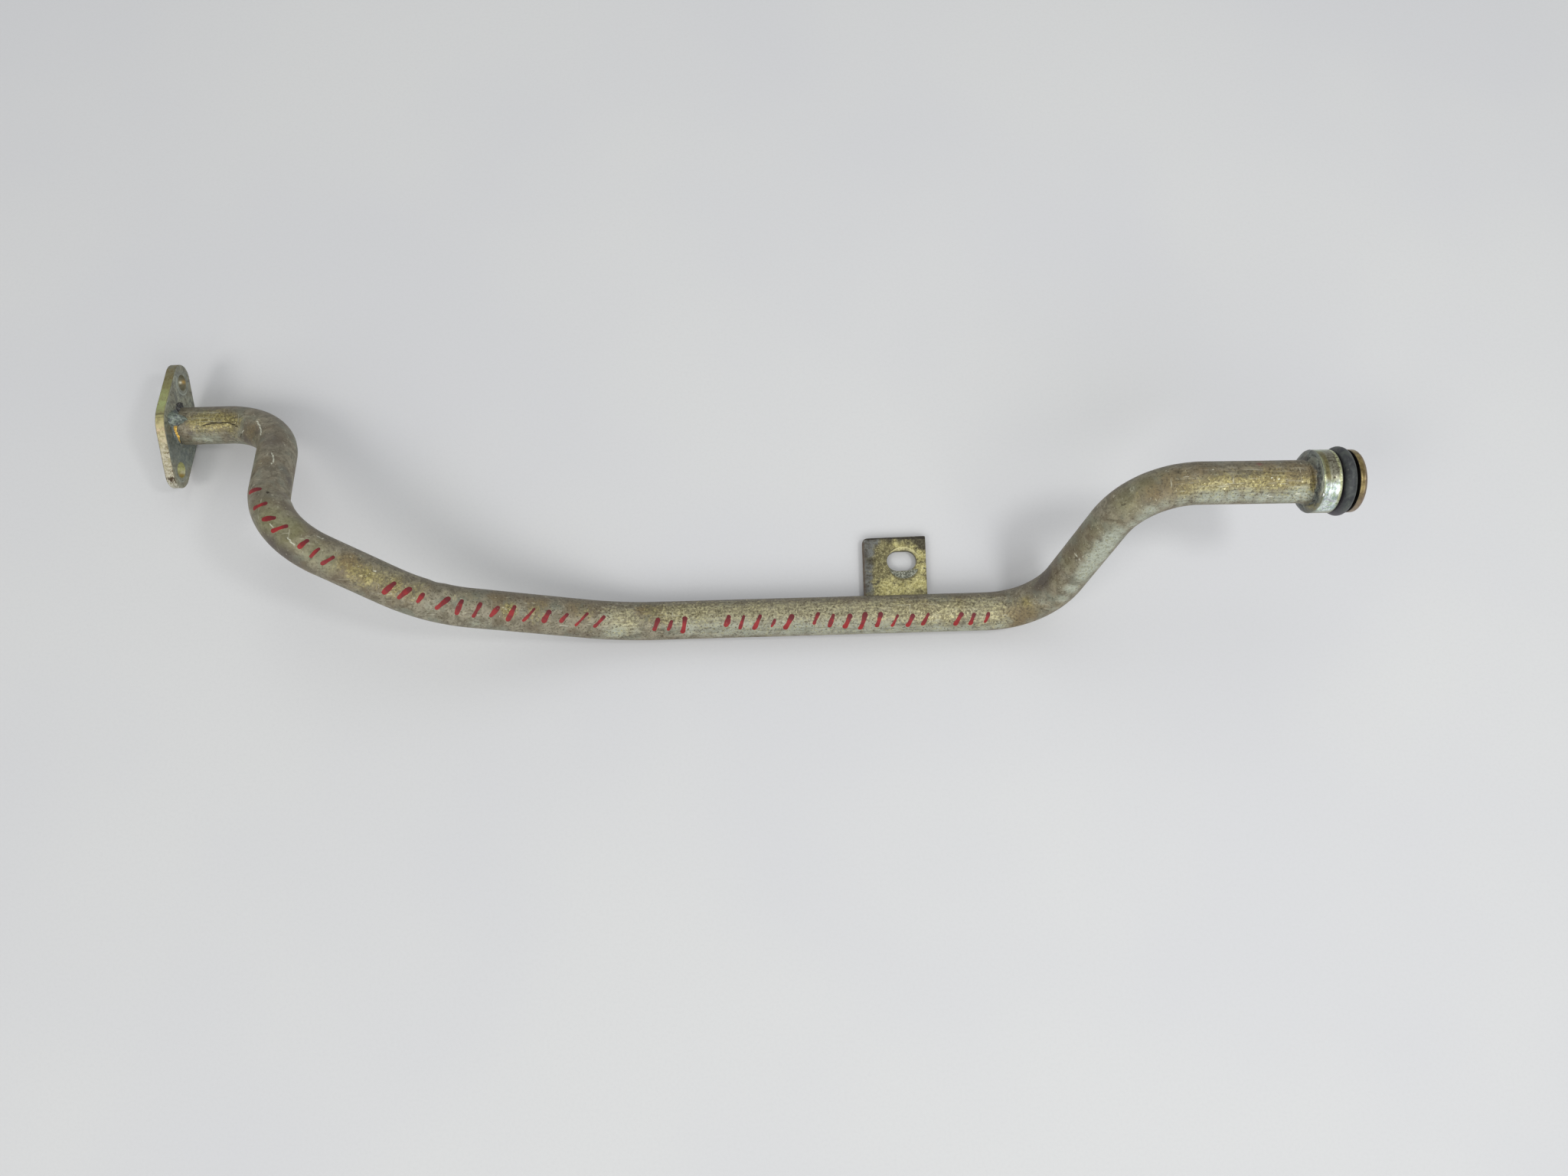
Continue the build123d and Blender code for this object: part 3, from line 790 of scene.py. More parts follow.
def tube_finish():
    f = Finish("aged_plated_tube")
    col, gm, cream_hl_m, rm, white_sheen_m, fine, grain, mid, speck = plated(f)

    # marks
    col = f.mix(f.mul(f.mask("pit"), 0.8), col, rgb(62, 54, 40))
    col = f.mix(f.band(f.mask("dark_line"), 0.25, 0.75), col, rgb(56, 48, 34))
    # pale lines: scratches and painted highlights
    pale = f.mul(f.band(f.mask("pale_line_and_highlight"), 0.25, 0.7), f.band(grain, 0.30, 0.48))
    col = f.mix(pale, col, rgb(214, 214, 194))

    # long faint scratches
    scr = f.noise(0.8, 2, 0.5, 0.0, f.stretch((0.06, 1.0, 1.0), (0.3, 0.2, 0.35)))
    scr2 = f.noise(0.9, 2, 0.5, 0.0, f.stretch((1.0, 0.07, 1.0), (0.1, 0.5, 0.8)))
    lines = f.math("MAXIMUM", f.band(scr, 0.67, 0.72), f.band(scr2, 0.68, 0.73))
    col = f.mix(f.mul(lines, 0.5), col, rgb(200, 196, 172))

    # red marker
    p = f.mask("paint")
    edge = f.add(p, f.mul(f.add(f.noise(1.6, 4, 0.6), -0.5), 0.35))
    pmask = f.mul(f.band(edge, -0.05, 0.05), f.band(f.noise(1.1, 4, 0.7, 0.3), 0.27, 0.33))
    red = f.mix(f.band(f.noise(3.0, 3, 0.5), 0.40, 0.60), rgb(120, 16, 22), rgb(150, 24, 26))
    red = f.mix(f.mul(f.band(f.mask("stroke"), 0.55, 0.95), 0.75), red, rgb(92, 12, 22))
    red = f.mix(f.mul(f.band(f.mask("stroke"), 0.30, 0.05), 0.30), red, rgb(166, 36, 32))
    col = f.mix(pmask, col, red)
    col = f.mix(f.mul(f.mask("smear"), 0.5), col, rgb(140, 52, 60))

    bore = f.mask("bore")
    col = f.mix(bore, col, f.mix(f.band(mid, 0.35, 0.65), rgb(84, 66, 48), rgb(58, 50, 42)))

    metal = f.blend(white_sheen_m, 0.42, 0.10)
    metal = f.blend(gm, metal, 0.55)
    metal = f.blend(rm, metal, 0.20)
    metal = f.blend(pmask, metal, 0.0)
    rough = f.add(0.52, f.mul(f.add(mid, -0.5), 0.30))
    rough = f.blend(gm, rough, 0.44)
    rough = f.blend(rm, rough, 0.62)
    rough = f.blend(white_sheen_m, rough, 0.60)
    rough = f.blend(pmask, rough, 0.55)
    h = f.mul(f.add(f.mul(fine, 0.7), f.mul(grain, 0.6)), f.add(0.25, f.mul(speck, 0.75)))
    h = f.add(h, f.mul(mid, 0.6))
    h = f.add(h, f.mul(lines, -0.25))
    h = f.blend(pmask, h, f.add(1.1, f.mul(mid, 0.25)))
    return f.finish(col, metal, rough, f.bump(h, 0.11))


# ------------------------------------------------------------------ fine plates
def fine_copy(node, voxel_mm, passes=2):
    """Even fine mesh over a plate's true surface, its edges a little broken: places and quads, in mm."""
    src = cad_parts[node]
    me = src.data.copy()
    bm = bmesh.new()
    bm.from_mesh(me)
    bmesh.ops.remove_doubles(bm, verts=bm.verts, dist=2e-6)
    bm.to_mesh(me)
    tree = BVHTree.FromBMesh(bm)
    bm.free()
    ob = bpy.data.objects.new(node + "_fine", me)
    bpy.context.scene.collection.objects.link(ob)
    mod = ob.modifiers.new("even", "REMESH")
    mod.mode = "VOXEL"
    mod.voxel_size = voxel_mm * MM
    mod.adaptivity = 0.0
    dg = bpy.context.evaluated_depsgraph_get()
    fine = bpy.data.meshes.new_from_object(ob.evaluated_get(dg))
    co = np.zeros(len(fine.vertices) * 3)
    fine.vertices.foreach_get("co", co)
    co = co.reshape(-1, 3)
    quads = [tuple(p.vertices) for p in fine.polygons]
    bpy.data.objects.remove(ob)
    bpy.data.meshes.remove(fine)
    for k in range(len(co)):
        hit = tree.find_nearest(Vector(co[k]))
        if hit[0] is not None:
            co[k] = hit[0]
    edges = set()
    for q in quads:
        for a, b in zip(q, q[1:] + q[:1]):
            edges.add((a, b) if a < b else (b, a))
    e = np.array(list(edges))
    count = np.bincount(e.ravel(), minlength=len(co)).astype(float)[:, None]
    for _ in range(passes):
        total = np.zeros_like(co)
        np.add.at(total, e[:, 0], co[e[:, 1]])
        np.add.at(total, e[:, 1], co[e[:, 0]])
        co = co * 0.5 + 0.5 * total / np.maximum(count, 1)
    return co * 1000.0, quads


def normals_of(verts, quads):
    q = np.array([f[:4] if len(f) > 3 else (*f, f[2]) for f in quads])
    n = np.cross(verts[q[:, 2]] - verts[q[:, 0]], verts[q[:, 3]] - verts[q[:, 1]])
    out = np.zeros_like(verts)
    for k in range(4):
        np.add.at(out, q[:, k], n)
    return out / np.maximum(np.linalg.norm(out, axis=1)[:, None], 1e-12)


# flange plate
fv, fq = fine_copy("flange_plate", 0.23)
fn = normals_of(fv, fq)
outer_face = STUB_START - STUB_DIR * FLANGE_T
rel = fv - outer_face
fa = rel @ FLANGE_LONG
fb = rel @ FLANGE_WIDE
fd = rel @ STUB_DIR
facing = fn @ STUB_DIR
inner_face = smooth(facing, 0.5, 0.85)
outer_side = smooth(-facing, 0.5, 0.85)
holes = np.minimum(np.hypot(fa - 19, fb), np.hypot(fa + 19, fb))
in_hole = (holes < 3.3 + 0.18) & (np.abs(facing) < 0.75)
middle = np.hypot(fa, fb)
rim = (1 - inner_face) * (1 - outer_side) * (~in_hole) * (middle > 8.6)

ring_u = np.hypot(fa - 19, fb)
ring_l = np.hypot(fa + 19, fb)
turn_u = np.arctan2(fb, fa - 19)
turn_l = np.arctan2(fb, fa + 19)
prints = np.zeros(len(fv))
for rr, w, strength, seed in ((4.95, 0.34, 1.0, 1), (4.15, 0.22, 0.55, 2), (5.95, 0.28, 0.45, 3)):
    prints = np.maximum(prints, strength * np.exp(-(((ring_u - rr) / w) ** 2)) * smooth(np.cos(turn_u - 3.0 + 0.2 * seed), -0.45, 0.35))
for rr, w, strength, seed in ((5.0, 0.34, 0.85, 1), (4.2, 0.20, 0.5, 2)):
    prints = np.maximum(prints, strength * np.exp(-(((ring_l - rr) / w) ** 2)) * smooth(np.cos(turn_l - 3.3 + 0.3 * seed), -0.3, 0.4))
prints = prints * inner_face * (0.75 + 0.4 * fbm(fv, 1.6, 2, 40))
seat = inner_face * np.maximum(smooth(ring_u, 5.7, 5.2), smooth(ring_l, 5.5, 5.0))

rim_pit = np.zeros(len(fv))
rr = np.random.default_rng(4)
for k in range(210):
    a = -rr.random() ** 0.8 * 26 + 2 * rr.random()
    d = 0.3 + 3.5 * rr.random() ** (0.55 if a < -10 else 1.0)
    near = (np.abs(fa - a) < 2) & (rim > 0.3) & (fb < 6)
    dist = np.hypot((fa[near] - a) * 0.8, fd[near] - d)
    size = 0.18 + 0.42 * rr.random() ** 2
    rim_pit[near] = np.maximum(rim_pit[near], np.exp(-((dist / size) ** 2)) * (0.45 + 0.55 * rr.random()))
rim_pit *= smooth(-fa, 1.0, 7.0)
# a scored line across the rim and its two worn edges
score = rim * np.exp(-(((fa - 2.2 + 0.08 * np.sin(fd * 2)) / 0.30) ** 2)) * 0.9
score += rim * np.exp(-(((fa - 0.7 + 0.06 * np.sin(fd * 3 + 1)) / 0.26) ** 2)) * 0.5
edge_in = rim * smooth(fd, 3.55, 3.9)
edge_out = rim * smooth(-fd, -0.35, -0.1)
edge_brown = rim * smooth(fd, 1.6, 3.2) * smooth(-fa, 3, 9)

flange_surface = Surface(fv, fq)
# spots in the holes: painted highlights, white and warm
hole_highlight = blobs(fv, flange_surface, [(235.5, 499.6, 0.55, 1.0), (241, 617, 0.9, 0.7), (238, 617, 0.8, 0.6)])
hole_warm_highlight = blobs(fv, flange_surface, [(239.5, 499.0, 0.8, 1.0), (237, 621, 1.4, 0.9)])

fdisp = 0.035 * fbm(fv, 3.2, 3, 21) + 0.02 * fbm(fv, 0.9, 2, 22) - 0.03
fdisp = fdisp - 0.09 * prints - 0.05 * seat - 0.20 * rim_pit - 0.08 * score
fv2 = fv + fn * fdisp[:, None]
flange_attrs = {
    "inner_face": inner_face, "rim": rim, "in_hole": in_hole.astype(float), "prints": np.clip(prints, 0, 1), "seat": seat,
    "pit": np.clip(rim_pit, 0, 1), "score": np.clip(score, 0, 1), "edge": np.clip(edge_in + edge_out, 0, 1), "edge_brown": edge_brown,
    "long_at": fa / 54.0 + 0.5, "wide_at": fb / 30.0 + 0.5, "hole_highlight": hole_highlight, "hole_warm_highlight": hole_warm_highlight,
    "upper": (fa > 0).astype(float),
}


def flange_finish():
    f = Finish("aged_plated_flange")
    fine = f.noise(0.9, 3, 0.6)
    mid = f.noise(2.4, 4, 0.6, 0.4)
    wide = f.noise(7.0, 3, 0.55, 0.3)
    at = f.mask("long_at")
    warped = f.add(at, f.mul(f.add(mid, -0.5), 0.06))
    face = f.mix(f.band(mid, 0.36, 0.64), rgb(122, 124, 114), rgb(178, 180, 160))
    face = f.mix(f.mul(f.band(wide, 0.42, 0.62), 0.45), face, rgb(130, 122, 98))
    teal = f.mul(f.band(warped, 0.48, 0.36), f.band(warped, 0.14, 0.24))
    face = f.mix(f.mul(teal, 0.45), face, rgb(120, 136, 138))
    face = f.mix(f.mul(f.band(warped, 0.24, 0.10), 0.45), face, rgb(166, 160, 134))
    face = f.mix(f.mul(f.band(fine, 0.56, 0.66), 0.50), face, rgb(76, 72, 62))
    face = f.mix(f.mul(f.band(fine, 0.42, 0.34), 0.30), face, rgb(190, 194, 178))
    face = f.mix(f.mul(f.mask("seat"), 0.30), face, rgb(128, 136, 130))
    pr = f.mask("prints")
    face = f.mix(f.mul(f.band(pr, 0.20, 0.70), 0.9), face, rgb(178, 184, 170))

    edge = f.ramp(warped, [
        (0.00, rgb(208, 206, 190)), (0.06, rgb(196, 190, 170)), (0.14, rgb(190, 184, 160)), (0.26, rgb(192, 186, 162)),
        (0.34, rgb(192, 184, 150)), (0.44, rgb(194, 182, 136)), (0.50, rgb(188, 178, 124)), (0.54, rgb(150, 148, 104)),
        (0.62, rgb(168, 178, 120)), (0.70, rgb(166, 172, 116)), (0.78, rgb(140, 138, 90)), (0.90, rgb(128, 122, 92)),
        (1.00, rgb(132, 134, 120)),
    ])
    pink = f.mul(f.band(f.noise(2.4, 2, 0.5), 0.48, 0.62), f.mul(f.band(at, 0.30, 0.38), f.band(at, 0.50, 0.44)))
    edge = f.mix(f.mul(pink, 0.5), edge, rgb(206, 176, 150))
    edge = f.mix(f.mul(f.band(mid, 0.50, 0.68), 0.4), edge, rgb(136, 126, 88))
    edge = f.mix(f.mul(f.band(fine, 0.57, 0.68), 0.45), edge, rgb(110, 97, 62))
    brown = f.mul(f.band(f.noise(1.1, 4, 0.65, 0.6), 0.50, 0.60), f.band(warped, 0.40, 0.24))
    edge = f.mix(f.mul(brown, f.add(0.45, f.mul(f.mask("edge_brown"), 0.50))), edge, rgb(92, 76, 48))
    worn = f.mul(f.band(f.noise(2.0, 4, 0.65, 0.8), 0.50, 0.60), 0.6)
    edge = f.mix(worn, edge, rgb(140, 130, 92))
    brown2 = f.mul(f.band(f.noise(1.7, 4, 0.65, 0.6), 0.50, 0.60), f.band(warped, 0.72, 0.84))
    edge = f.mix(f.mul(brown2, 0.6), edge, rgb(112, 98, 60))
    col = f.mix(f.mask("rim"), face, edge)
    col = f.mix(f.mul(f.mask("edge"), f.band(mid, 0.30, 0.55, 0.35, 0.9)), col, rgb(98, 88, 64))
    hole = f.mix(f.mask("upper"), rgb(172, 172, 116), rgb(128, 124, 100))
    hole = f.mix(f.mul(f.band(fine, 0.5, 0.65), 0.5), hole, rgb(104, 96, 66))
    # painted warm and white highlights in the holes
    hole = f.mix(f.mask("hole_warm_highlight"), hole, rgb(186, 150, 78))
    hole = f.mix(f.mask("hole_highlight"), hole, rgb(226, 224, 196))
    col = f.mix(f.mask("in_hole"), col, hole)
    pit = f.mask("pit")
    col = f.mix(f.band(pit, 0.15, 0.6), col, rgb(74, 58, 38))
    col = f.mix(f.mul(f.mask("score"), 0.8), col, rgb(88, 80, 54))
    # painted shade of the weld's hollow and gap lines
    col = f.mix(f.band(f.mask("gap_shade"), 0.25, 0.8), col, rgb(46, 42, 42))
    rough = f.add(0.46, f.mul(f.add(mid, -0.5), 0.3))
    rough = f.blend(f.mask("rim"), rough, 0.50)
    rough = f.blend(pit, rough, 0.7)
    metal = f.blend(f.mask("rim"), 0.50, 0.40)
    metal = f.blend(f.mask("in_hole"), metal, 0.15)
    h = f.add(f.mul(fine, 0.6), f.mul(mid, 0.6))
    return f.finish(col, f.blend(pit, metal, 0.2), rough, f.bump(h, 0.06))


# bracket tab
tv, tq = fine_copy("bracket_tab", 0.19)
tn = normals_of(tv, tq)
tab_lo, tab_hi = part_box("bracket_tab")
TAB_TOP = tab_hi[2] * 1000
tab_faces_surface = Surface(tv, tq)
top_side = smooth(tn[:, 2], 0.5, 0.85)
slot_c = np.array([74.93, -30.7])
sx = np.maximum(np.abs(tv[:, 0] - slot_c[0]) - (6.25 - 4.35), 0)
slot_d = np.hypot(sx, tv[:, 1] - slot_c[1]) - 4.35
bolt_c = np.array([75.76, -31.75])
bolt_r = np.hypot(tv[:, 0] - bolt_c[0], tv[:, 1] - bolt_c[1])
bolt_turn = np.arctan2(tv[:, 1] - bolt_c[1], tv[:, 0] - bolt_c[0])
ring = np.exp(-(((bolt_r - 6.95) / 0.26) ** 2))
ring3 = np.exp(-(((bolt_r - 7.42) / 0.20) ** 2))
ring2 = np.exp(-(((bolt_r - 6.25) / 0.18) ** 2))
inside_print = smooth(-bolt_r, -6.95, -6.6) * top_side
lower_print = inside_print * smooth(-(tv[:, 1] - slot_c[1]), 3.2, 4.2)
upper_print = inside_print * smooth(tv[:, 1] - slot_c[1], 3.2, 4.2)
scallop = 0.5 + 0.5 * np.sin(bolt_turn * 34)
lower_ring = ring * smooth(-np.sin(bolt_turn), 0.15, 0.6) * (0.45 + 0.55 * scallop)
upper_ring = np.maximum(ring, 0.8 * ring2) * smooth(np.sin(bolt_turn - 0.35), -0.1, 0.6)
slot_lip = np.exp(-(((slot_d - 0.25) / 0.22) ** 2)) * top_side
side_wall = (1 - smooth(np.abs(tn[:, 2]), 0.4, 0.8))
slot_wall_shade = side_wall * (slot_d < 0.5)
edge_wall = side_wall * (slot_d > 0.8)
xl = (tv[:, 0] - 58.3) / 27.4
yl = (tv[:, 1] + 50.0) / 29.8
tgold = blobs(tv, tab_faces_surface, [
    (1150, 730, 4, 0.35), (1150, 745, 4, 0.4), (1162, 713, 4, 0.45), (1155, 770, 5, 1.0), (1170, 772, 5, 1.0),
    (1185, 770, 5, 1.0), (1200, 760, 5, 1.0), (1203, 742, 4, 1.0), (1202, 725, 4, 1.0), (1190, 712, 4, 0.8),
    (1175, 712, 4, 0.9), (1145, 765, 4, 0.6), (1141, 745, 3, 0.3), (1160, 765, 5, 1.0),
])
tgrey = blobs(tv, tab_faces_surface, [
    (1131, 710, 4.4, 1.0), (1132, 722, 3.8, 1.0), (1132, 738, 3.4, 1.0), (1132, 753, 3.2, 1.0), (1133, 768, 3.4, 1.0), (1140, 712, 3, 0.6), (1136, 775, 2.4, 0.6),
    (1142, 706, 3, 0.9), (1128, 700, 3, 0.8),
])
tdark = blobs(tv, tab_faces_surface, [
    (1147, 760, 1.0, 1.0), (1144, 763, 0.8, 1.0), (1149, 756, 0.6, 0.8), (1160, 703, 3, 0.9), (1175, 702, 3, 0.9),
    (1190, 702, 3, 0.8), (1145, 702, 2.5, 0.8), (1200, 705, 3.6, 1.1), (1205, 710, 3, 1.1), (1195, 707, 2.6, 0.9), (1206, 716, 1.8, 0.8), (1207, 722, 0.7, 0.7), (1205, 734, 0.6, 0.7), (1207, 742, 0.7, 0.8), (1204, 751, 0.6, 0.6), (1191, 712, 0.7, 0.7), (1197, 716, 0.6, 0.8), (1201, 724, 0.5, 0.7), (1158, 737, 1.6, 0.4), (1152, 722, 1.6, 0.4), (1187, 709, 2.0, 0.7), (1190, 773, 1.2, 0.5), (1203, 771, 1.2, 0.5),
    (1150, 737, 1.2, 0.5), (1206, 715, 1.5, 0.5), (1168, 762, 0.7, 0.7), (1163, 759, 0.6, 0.7),
])
tpit = np.zeros(len(tv))
rt = np.random.default_rng(8)
for k in range(230):
    c = np.array([58.5 + 27 * rt.random(), -48 + 27.5 * rt.random()])
    size = 0.13 + 0.26 * rt.random() ** 2
    d = np.hypot(tv[:, 0] - c[0], tv[:, 1] - c[1])
    tpit = np.maximum(tpit, np.exp(-((d / size) ** 2)) * (0.4 + 0.6 * rt.random()))
tpit *= 1 - side_wall
to_far = (-20.20 + (tv[:, 0] - 58.50) * 0.01103) - tv[:, 1]
to_left = tv[:, 0] - (58.17 + (tv[:, 1] + 45.46) * 0.01306)
ragged = 0.30 * fbm(tv, 1.8, 3, 57)
far_edge = smooth(-to_far + 2.0 * ragged + 0.5 * smooth(tv[:, 0], 73, 79), -1.25, -0.55)
left_edge = smooth(-to_left + ragged, -1.3, -0.4)
tdisp = 0.03 * fbm(tv, 3.5, 3, 51) + 0.02 * fbm(tv, 0.8, 2, 52) - 0.03
tdisp -= top_side * (0.08 * inside_print + 0.09 * lower_ring + 0.06 * upper_ring) + 0.08 * tpit
tdisp -= top_side * lower_print * 0.10 * (0.5 + 0.5 * value_noise(tv, 0.8, 60))
tv2 = tv + tn * tdisp[:, None]
tab_attrs = {
    "gold": tgold, "grey": tgrey, "dark": tdark, "pit": tpit, "lower_print": lower_print, "upper_print": upper_print,
    "lower_ring": lower_ring * top_side, "upper_ring": upper_ring * top_side, "slot_lip": slot_lip,
    "slot_wall_shade": slot_wall_shade, "edge_wall": edge_wall, "top": top_side, "x_at": xl, "y_at": yl,
    "far_edge": far_edge, "left_edge": left_edge, "outer_ring": ring3 * top_side * (slot_d > 0.4) * smooth(fbm(tv, 1.6, 2, 63), -0.35, 0.15),
}


def tab_finish():
    f = Finish("aged_plated_tab")
    fine = f.noise(0.95, 3, 0.6, 0.2)
    fine2 = f.noise(1.3, 3, 0.6, 0.3)
    mid = f.noise(2.2, 4, 0.6, 0.4)
    wide = f.noise(6.0, 3, 0.55)
    tiny = f.noise(0.62, 2, 0.5, 0.2)
    ground = f.mix(f.band(mid, 0.32, 0.68), rgb(106, 99, 70), rgb(144, 137, 98))
    ground = f.mix(f.mul(f.band(wide, 0.45, 0.65), 0.45), ground, rgb(118, 108, 76))
    goldcol = f.mix(f.band(fine2, 0.36, 0.62), rgb(186, 176, 112), rgb(226, 217, 154))
    g = f.add(f.mul(f.mask("gold"), 0.95), f.mul(f.add(mid, -0.5), 1.0))
    g = f.add(g, f.mul(f.add(fine, -0.5), -0.9))
    gm = f.band(g, 0.28, 0.95)
    col = f.mix(gm, ground, goldcol)
    col = f.mix(f.mul(f.band(fine, 0.50, 0.62), f.blend(gm, 0.55, 0.40)), col, rgb(98, 90, 56))
    col = f.mix(f.mul(f.band(tiny, 0.56, 0.66), 0.55), col, rgb(82, 76, 46))
    col = f.mix(f.mul(f.band(tiny, 0.46, 0.36), 0.45), col, rgb(212, 204, 150))
    grey = f.add(f.mask("grey"), f.mul(f.add(f.noise(3, 4, 0.6, 0.4), -0.5), 0.8))
    greycol = f.mix(f.band(mid, 0.4, 0.6), rgb(84, 82, 80), rgb(118, 121, 120))
    col = f.mix(f.mul(f.band(grey, 0.25, 0.75), 0.85), col, f.mix(f.mul(f.band(fine, 0.54, 0.64), 0.5), greycol, rgb(72, 64, 58)))
    dark = f.add(f.mask("dark"), f.mul(f.add(f.noise(1.6, 4, 0.65, 0.4), -0.5), 0.9))
    col = f.mix(f.mul(f.band(dark, 0.3, 0.8), 0.88), col, f.mix(f.band(fine, 0.44, 0.56), rgb(88, 84, 68), rgb(60, 54, 42)))
    col = f.mix(f.mul(f.mask("upper_print"), 0.65), col, f.mix(f.band(fine, 0.42, 0.58), rgb(206, 200, 152), rgb(140, 132, 92)))
    col = f.mix(f.mul(f.mask("upper_ring"), 0.85), col, rgb(228, 220, 166))
    col = f.mix(f.mul(f.mask("outer_ring"), 0.60), col, rgb(84, 76, 50))
    speck = f.band(f.noise(0.75, 2, 0.6, 0.3), 0.40, 0.56)
    col = f.mix(f.mul(f.mask("lower_print"), 0.95), col, f.mix(speck, rgb(172, 174, 158), rgb(96, 98, 86)))
    col = f.mix(f.mul(f.mask("lower_ring"), 0.85), col, rgb(88, 80, 54))
    col = f.mix(f.mul(f.mask("slot_lip"), 0.45), col, rgb(92, 86, 62))
    col = f.mix(f.mul(f.mask("pit"), 0.85), col, rgb(70, 60, 36))
    wall = f.mix(f.band(mid, 0.4, 0.6), rgb(96, 80, 62), rgb(124, 110, 86))
    col = f.mix(f.mul(f.mask("left_edge"), 0.75), col, rgb(92, 78, 66))
    col = f.mix(f.mul(f.mask("far_edge"), f.band(fine, 0.35, 0.60, 0.75, 1.0)), col, rgb(54, 49, 40))
    col = f.mix(f.mask("edge_wall"), col, wall)
    # slot wall: painted shade
    col = f.mix(f.mask("slot_wall_shade"), col, rgb(98, 92, 72))
    rough = f.add(0.44, f.mul(f.add(mid, -0.5), 0.3))
    rough = f.blend(gm, rough, 0.38)
    h = f.add(f.mul(fine, -0.6), f.mul(fine2, -0.5))
    return f.finish(col, 0.5, rough, f.bump(h, 0.09))


# ------------------------------------------------------------------ turned and moulded rings
def ring_sides(direction):
    a = unit(np.cross(direction, [0, 1.0, 0]))
    if a[2] < 0:
        a = -a
    b = np.cross(direction, a)
    return a, b


def lathe(profile, origin, direction, around, up=None):
    """profile is (x along, r) pairs, closed. Rows are profile points, columns go round. Angle 0 is up."""
    a, b = ring_sides(direction)
    t = np.arange(around) * 2 * math.pi / around
    out = np.cos(t)[:, None] * a + np.sin(t)[:, None] * b
    x = np.array([q[0] for q in profile])
    r = np.array([q[1] for q in profile])
    v = origin + x[:, None, None] * direction + r[:, None, None] * out[None]
    n = len(profile)
    return v, out, t, x, r


def dense(profile, step):
    """Adds points along a closed outline, no further apart than step."""
    out = []
    n = len(profile)
    for i in range(n):
        a, b = np.array(profile[i]), np.array(profile[(i + 1) % n])
        k = max(1, int(math.ceil(np.linalg.norm(b - a) / step)))
        for j in range(k):
            out.append(tuple(a + (b - a) * j / k))
    return out


def arc(cx, cy, r, a0, a1, n):
    return [(cx + r * math.cos(math.radians(a0 + (a1 - a0) * i / n)), cy + r * math.sin(math.radians(a0 + (a1 - a0) * i / n))) for i in range(n + 1)]


AROUND = 240
# collar: shoulder, land, groove, lip; x from the shoulder
outline = []
outline += [(2.1, 8.0), (2.2, 8.6), (2.42, 9.3), (2.95, 10.25), (3.42, 10.86), (3.86, 11.30), (4.4, 11.7)]
outline += [(4.7, 11.7), (11.55, 11.7), (11.72, 11.66), (11.8, 11.5)]
outline += [(11.8, 8.5), (11.9, 8.35), (18.2, 8.35), (18.3, 8.5), (18.3, 11.45), (18.4, 11.62), (18.55, 11.65)]
outline += [(19.9, 11.65)] + [(20.0 + math.sin(math.radians(k)), 10.65 + math.cos(math.radians(k))) for k in (10, 25, 40, 55, 70, 85)]
outline += [(21.0, 10.5), (21.0, 7.15), (20.4, 6.5), (10.4, 6.5), (10.4, 8.0)]
prof = dense(outline, 0.36)
cv, cout, ct, cx, cr = lathe(prof, SHOULDER, END_DIR, AROUND)
cflat = cv.reshape(-1, 3)
cx_all = np.repeat(cx, AROUND)
cr_all = np.repeat(cr, AROUND)
cdir = np.tile(cout, (len(prof), 1))
on_land = smooth(cx_all, 4.2, 5.0) * smooth(-cx_all, -11.7, -11.4) * (cr_all > 11)
on_shoulder = smooth(-cx_all, -4.6, -3.6) * (cr_all > 8.2)
on_lip = (cx_all > 18.35) * (cr_all > 10.4)
lines = 0.02 * np.sin(cx_all * 9.0 + 0.6 * np.sin(cx_all * 2.7)) * on_land
lines += 0.015 * np.sin(cx_all * 21.0) * on_land
lip_line = 0.05 * np.exp(-(((cx_all - 19.55) / 0.14) ** 2)) * on_lip
dents = 0.10 * np.clip(fbm(cflat, 2.4, 3, 71) - 0.25, 0, 1) * on_land
dents += 0.30 * np.clip(fbm(cflat, 1.6, 3, 72) + 0.1, 0, 1) * on_shoulder
cdisp = -0.02 + lines - lip_line - dents + 0.012 * fbm(cflat, 1.2, 2, 73) * (cr_all > 8.2)
cflat2 = cflat + cdir * cdisp[:, None]
collar_faces = grid_faces(len(prof), AROUND, close_rows=True)
collar_surface = Surface(cflat, collar_faces)
# zones of colour on the land, by place along and round, with painted highlights and a painted reflection
c_turn = np.tile(((np.degrees(ct) + 180) % 360) - 180, len(prof))
wander = 0.35 * fbm(cflat, 3.0, 3, 74)


def zone(x0, x1, t0, t1, sx=0.25, st=7.0):
    x = cx_all + wander
    t = c_turn + 12 * wander
    return smooth(x, x0 - sx, x0 + sx) * smooth(-x, -x1 - sx, -x1 + sx) * smooth(t, t0 - st, t0 + st) * smooth(-t, -t1 - st, -t1 + st) * on_land


# a painted highlight line along the start of the land, slightly sunk
c_highlight_line = np.exp(-(((cx_all + 0.5 * wander - 5.05) / 0.19) ** 2)) * smooth(c_turn, -52, -34) * smooth(-c_turn, -40, -15) * on_land
c_start = zone(4.3, 5.4, -100, 80, 0.15)
c_olive = zone(5.5, 7.4, -55, 22, 0.3)
c_mauve = zone(7.6, 10.9, -62, 14, 0.4)
c_rim = zone(10.6, 12.2, -75, 60, 0.25)
c_green = np.maximum(zone(5.5, 12, -100, -48, 0.4), 0.8 * zone(8.5, 11.6, 48, 80, 0.4))
# lower, front-facing part of the land: iridescent film colour with a painted reflection
c_blue_sheen = zone(5.3, 11.0, 20, 88, 0.4)
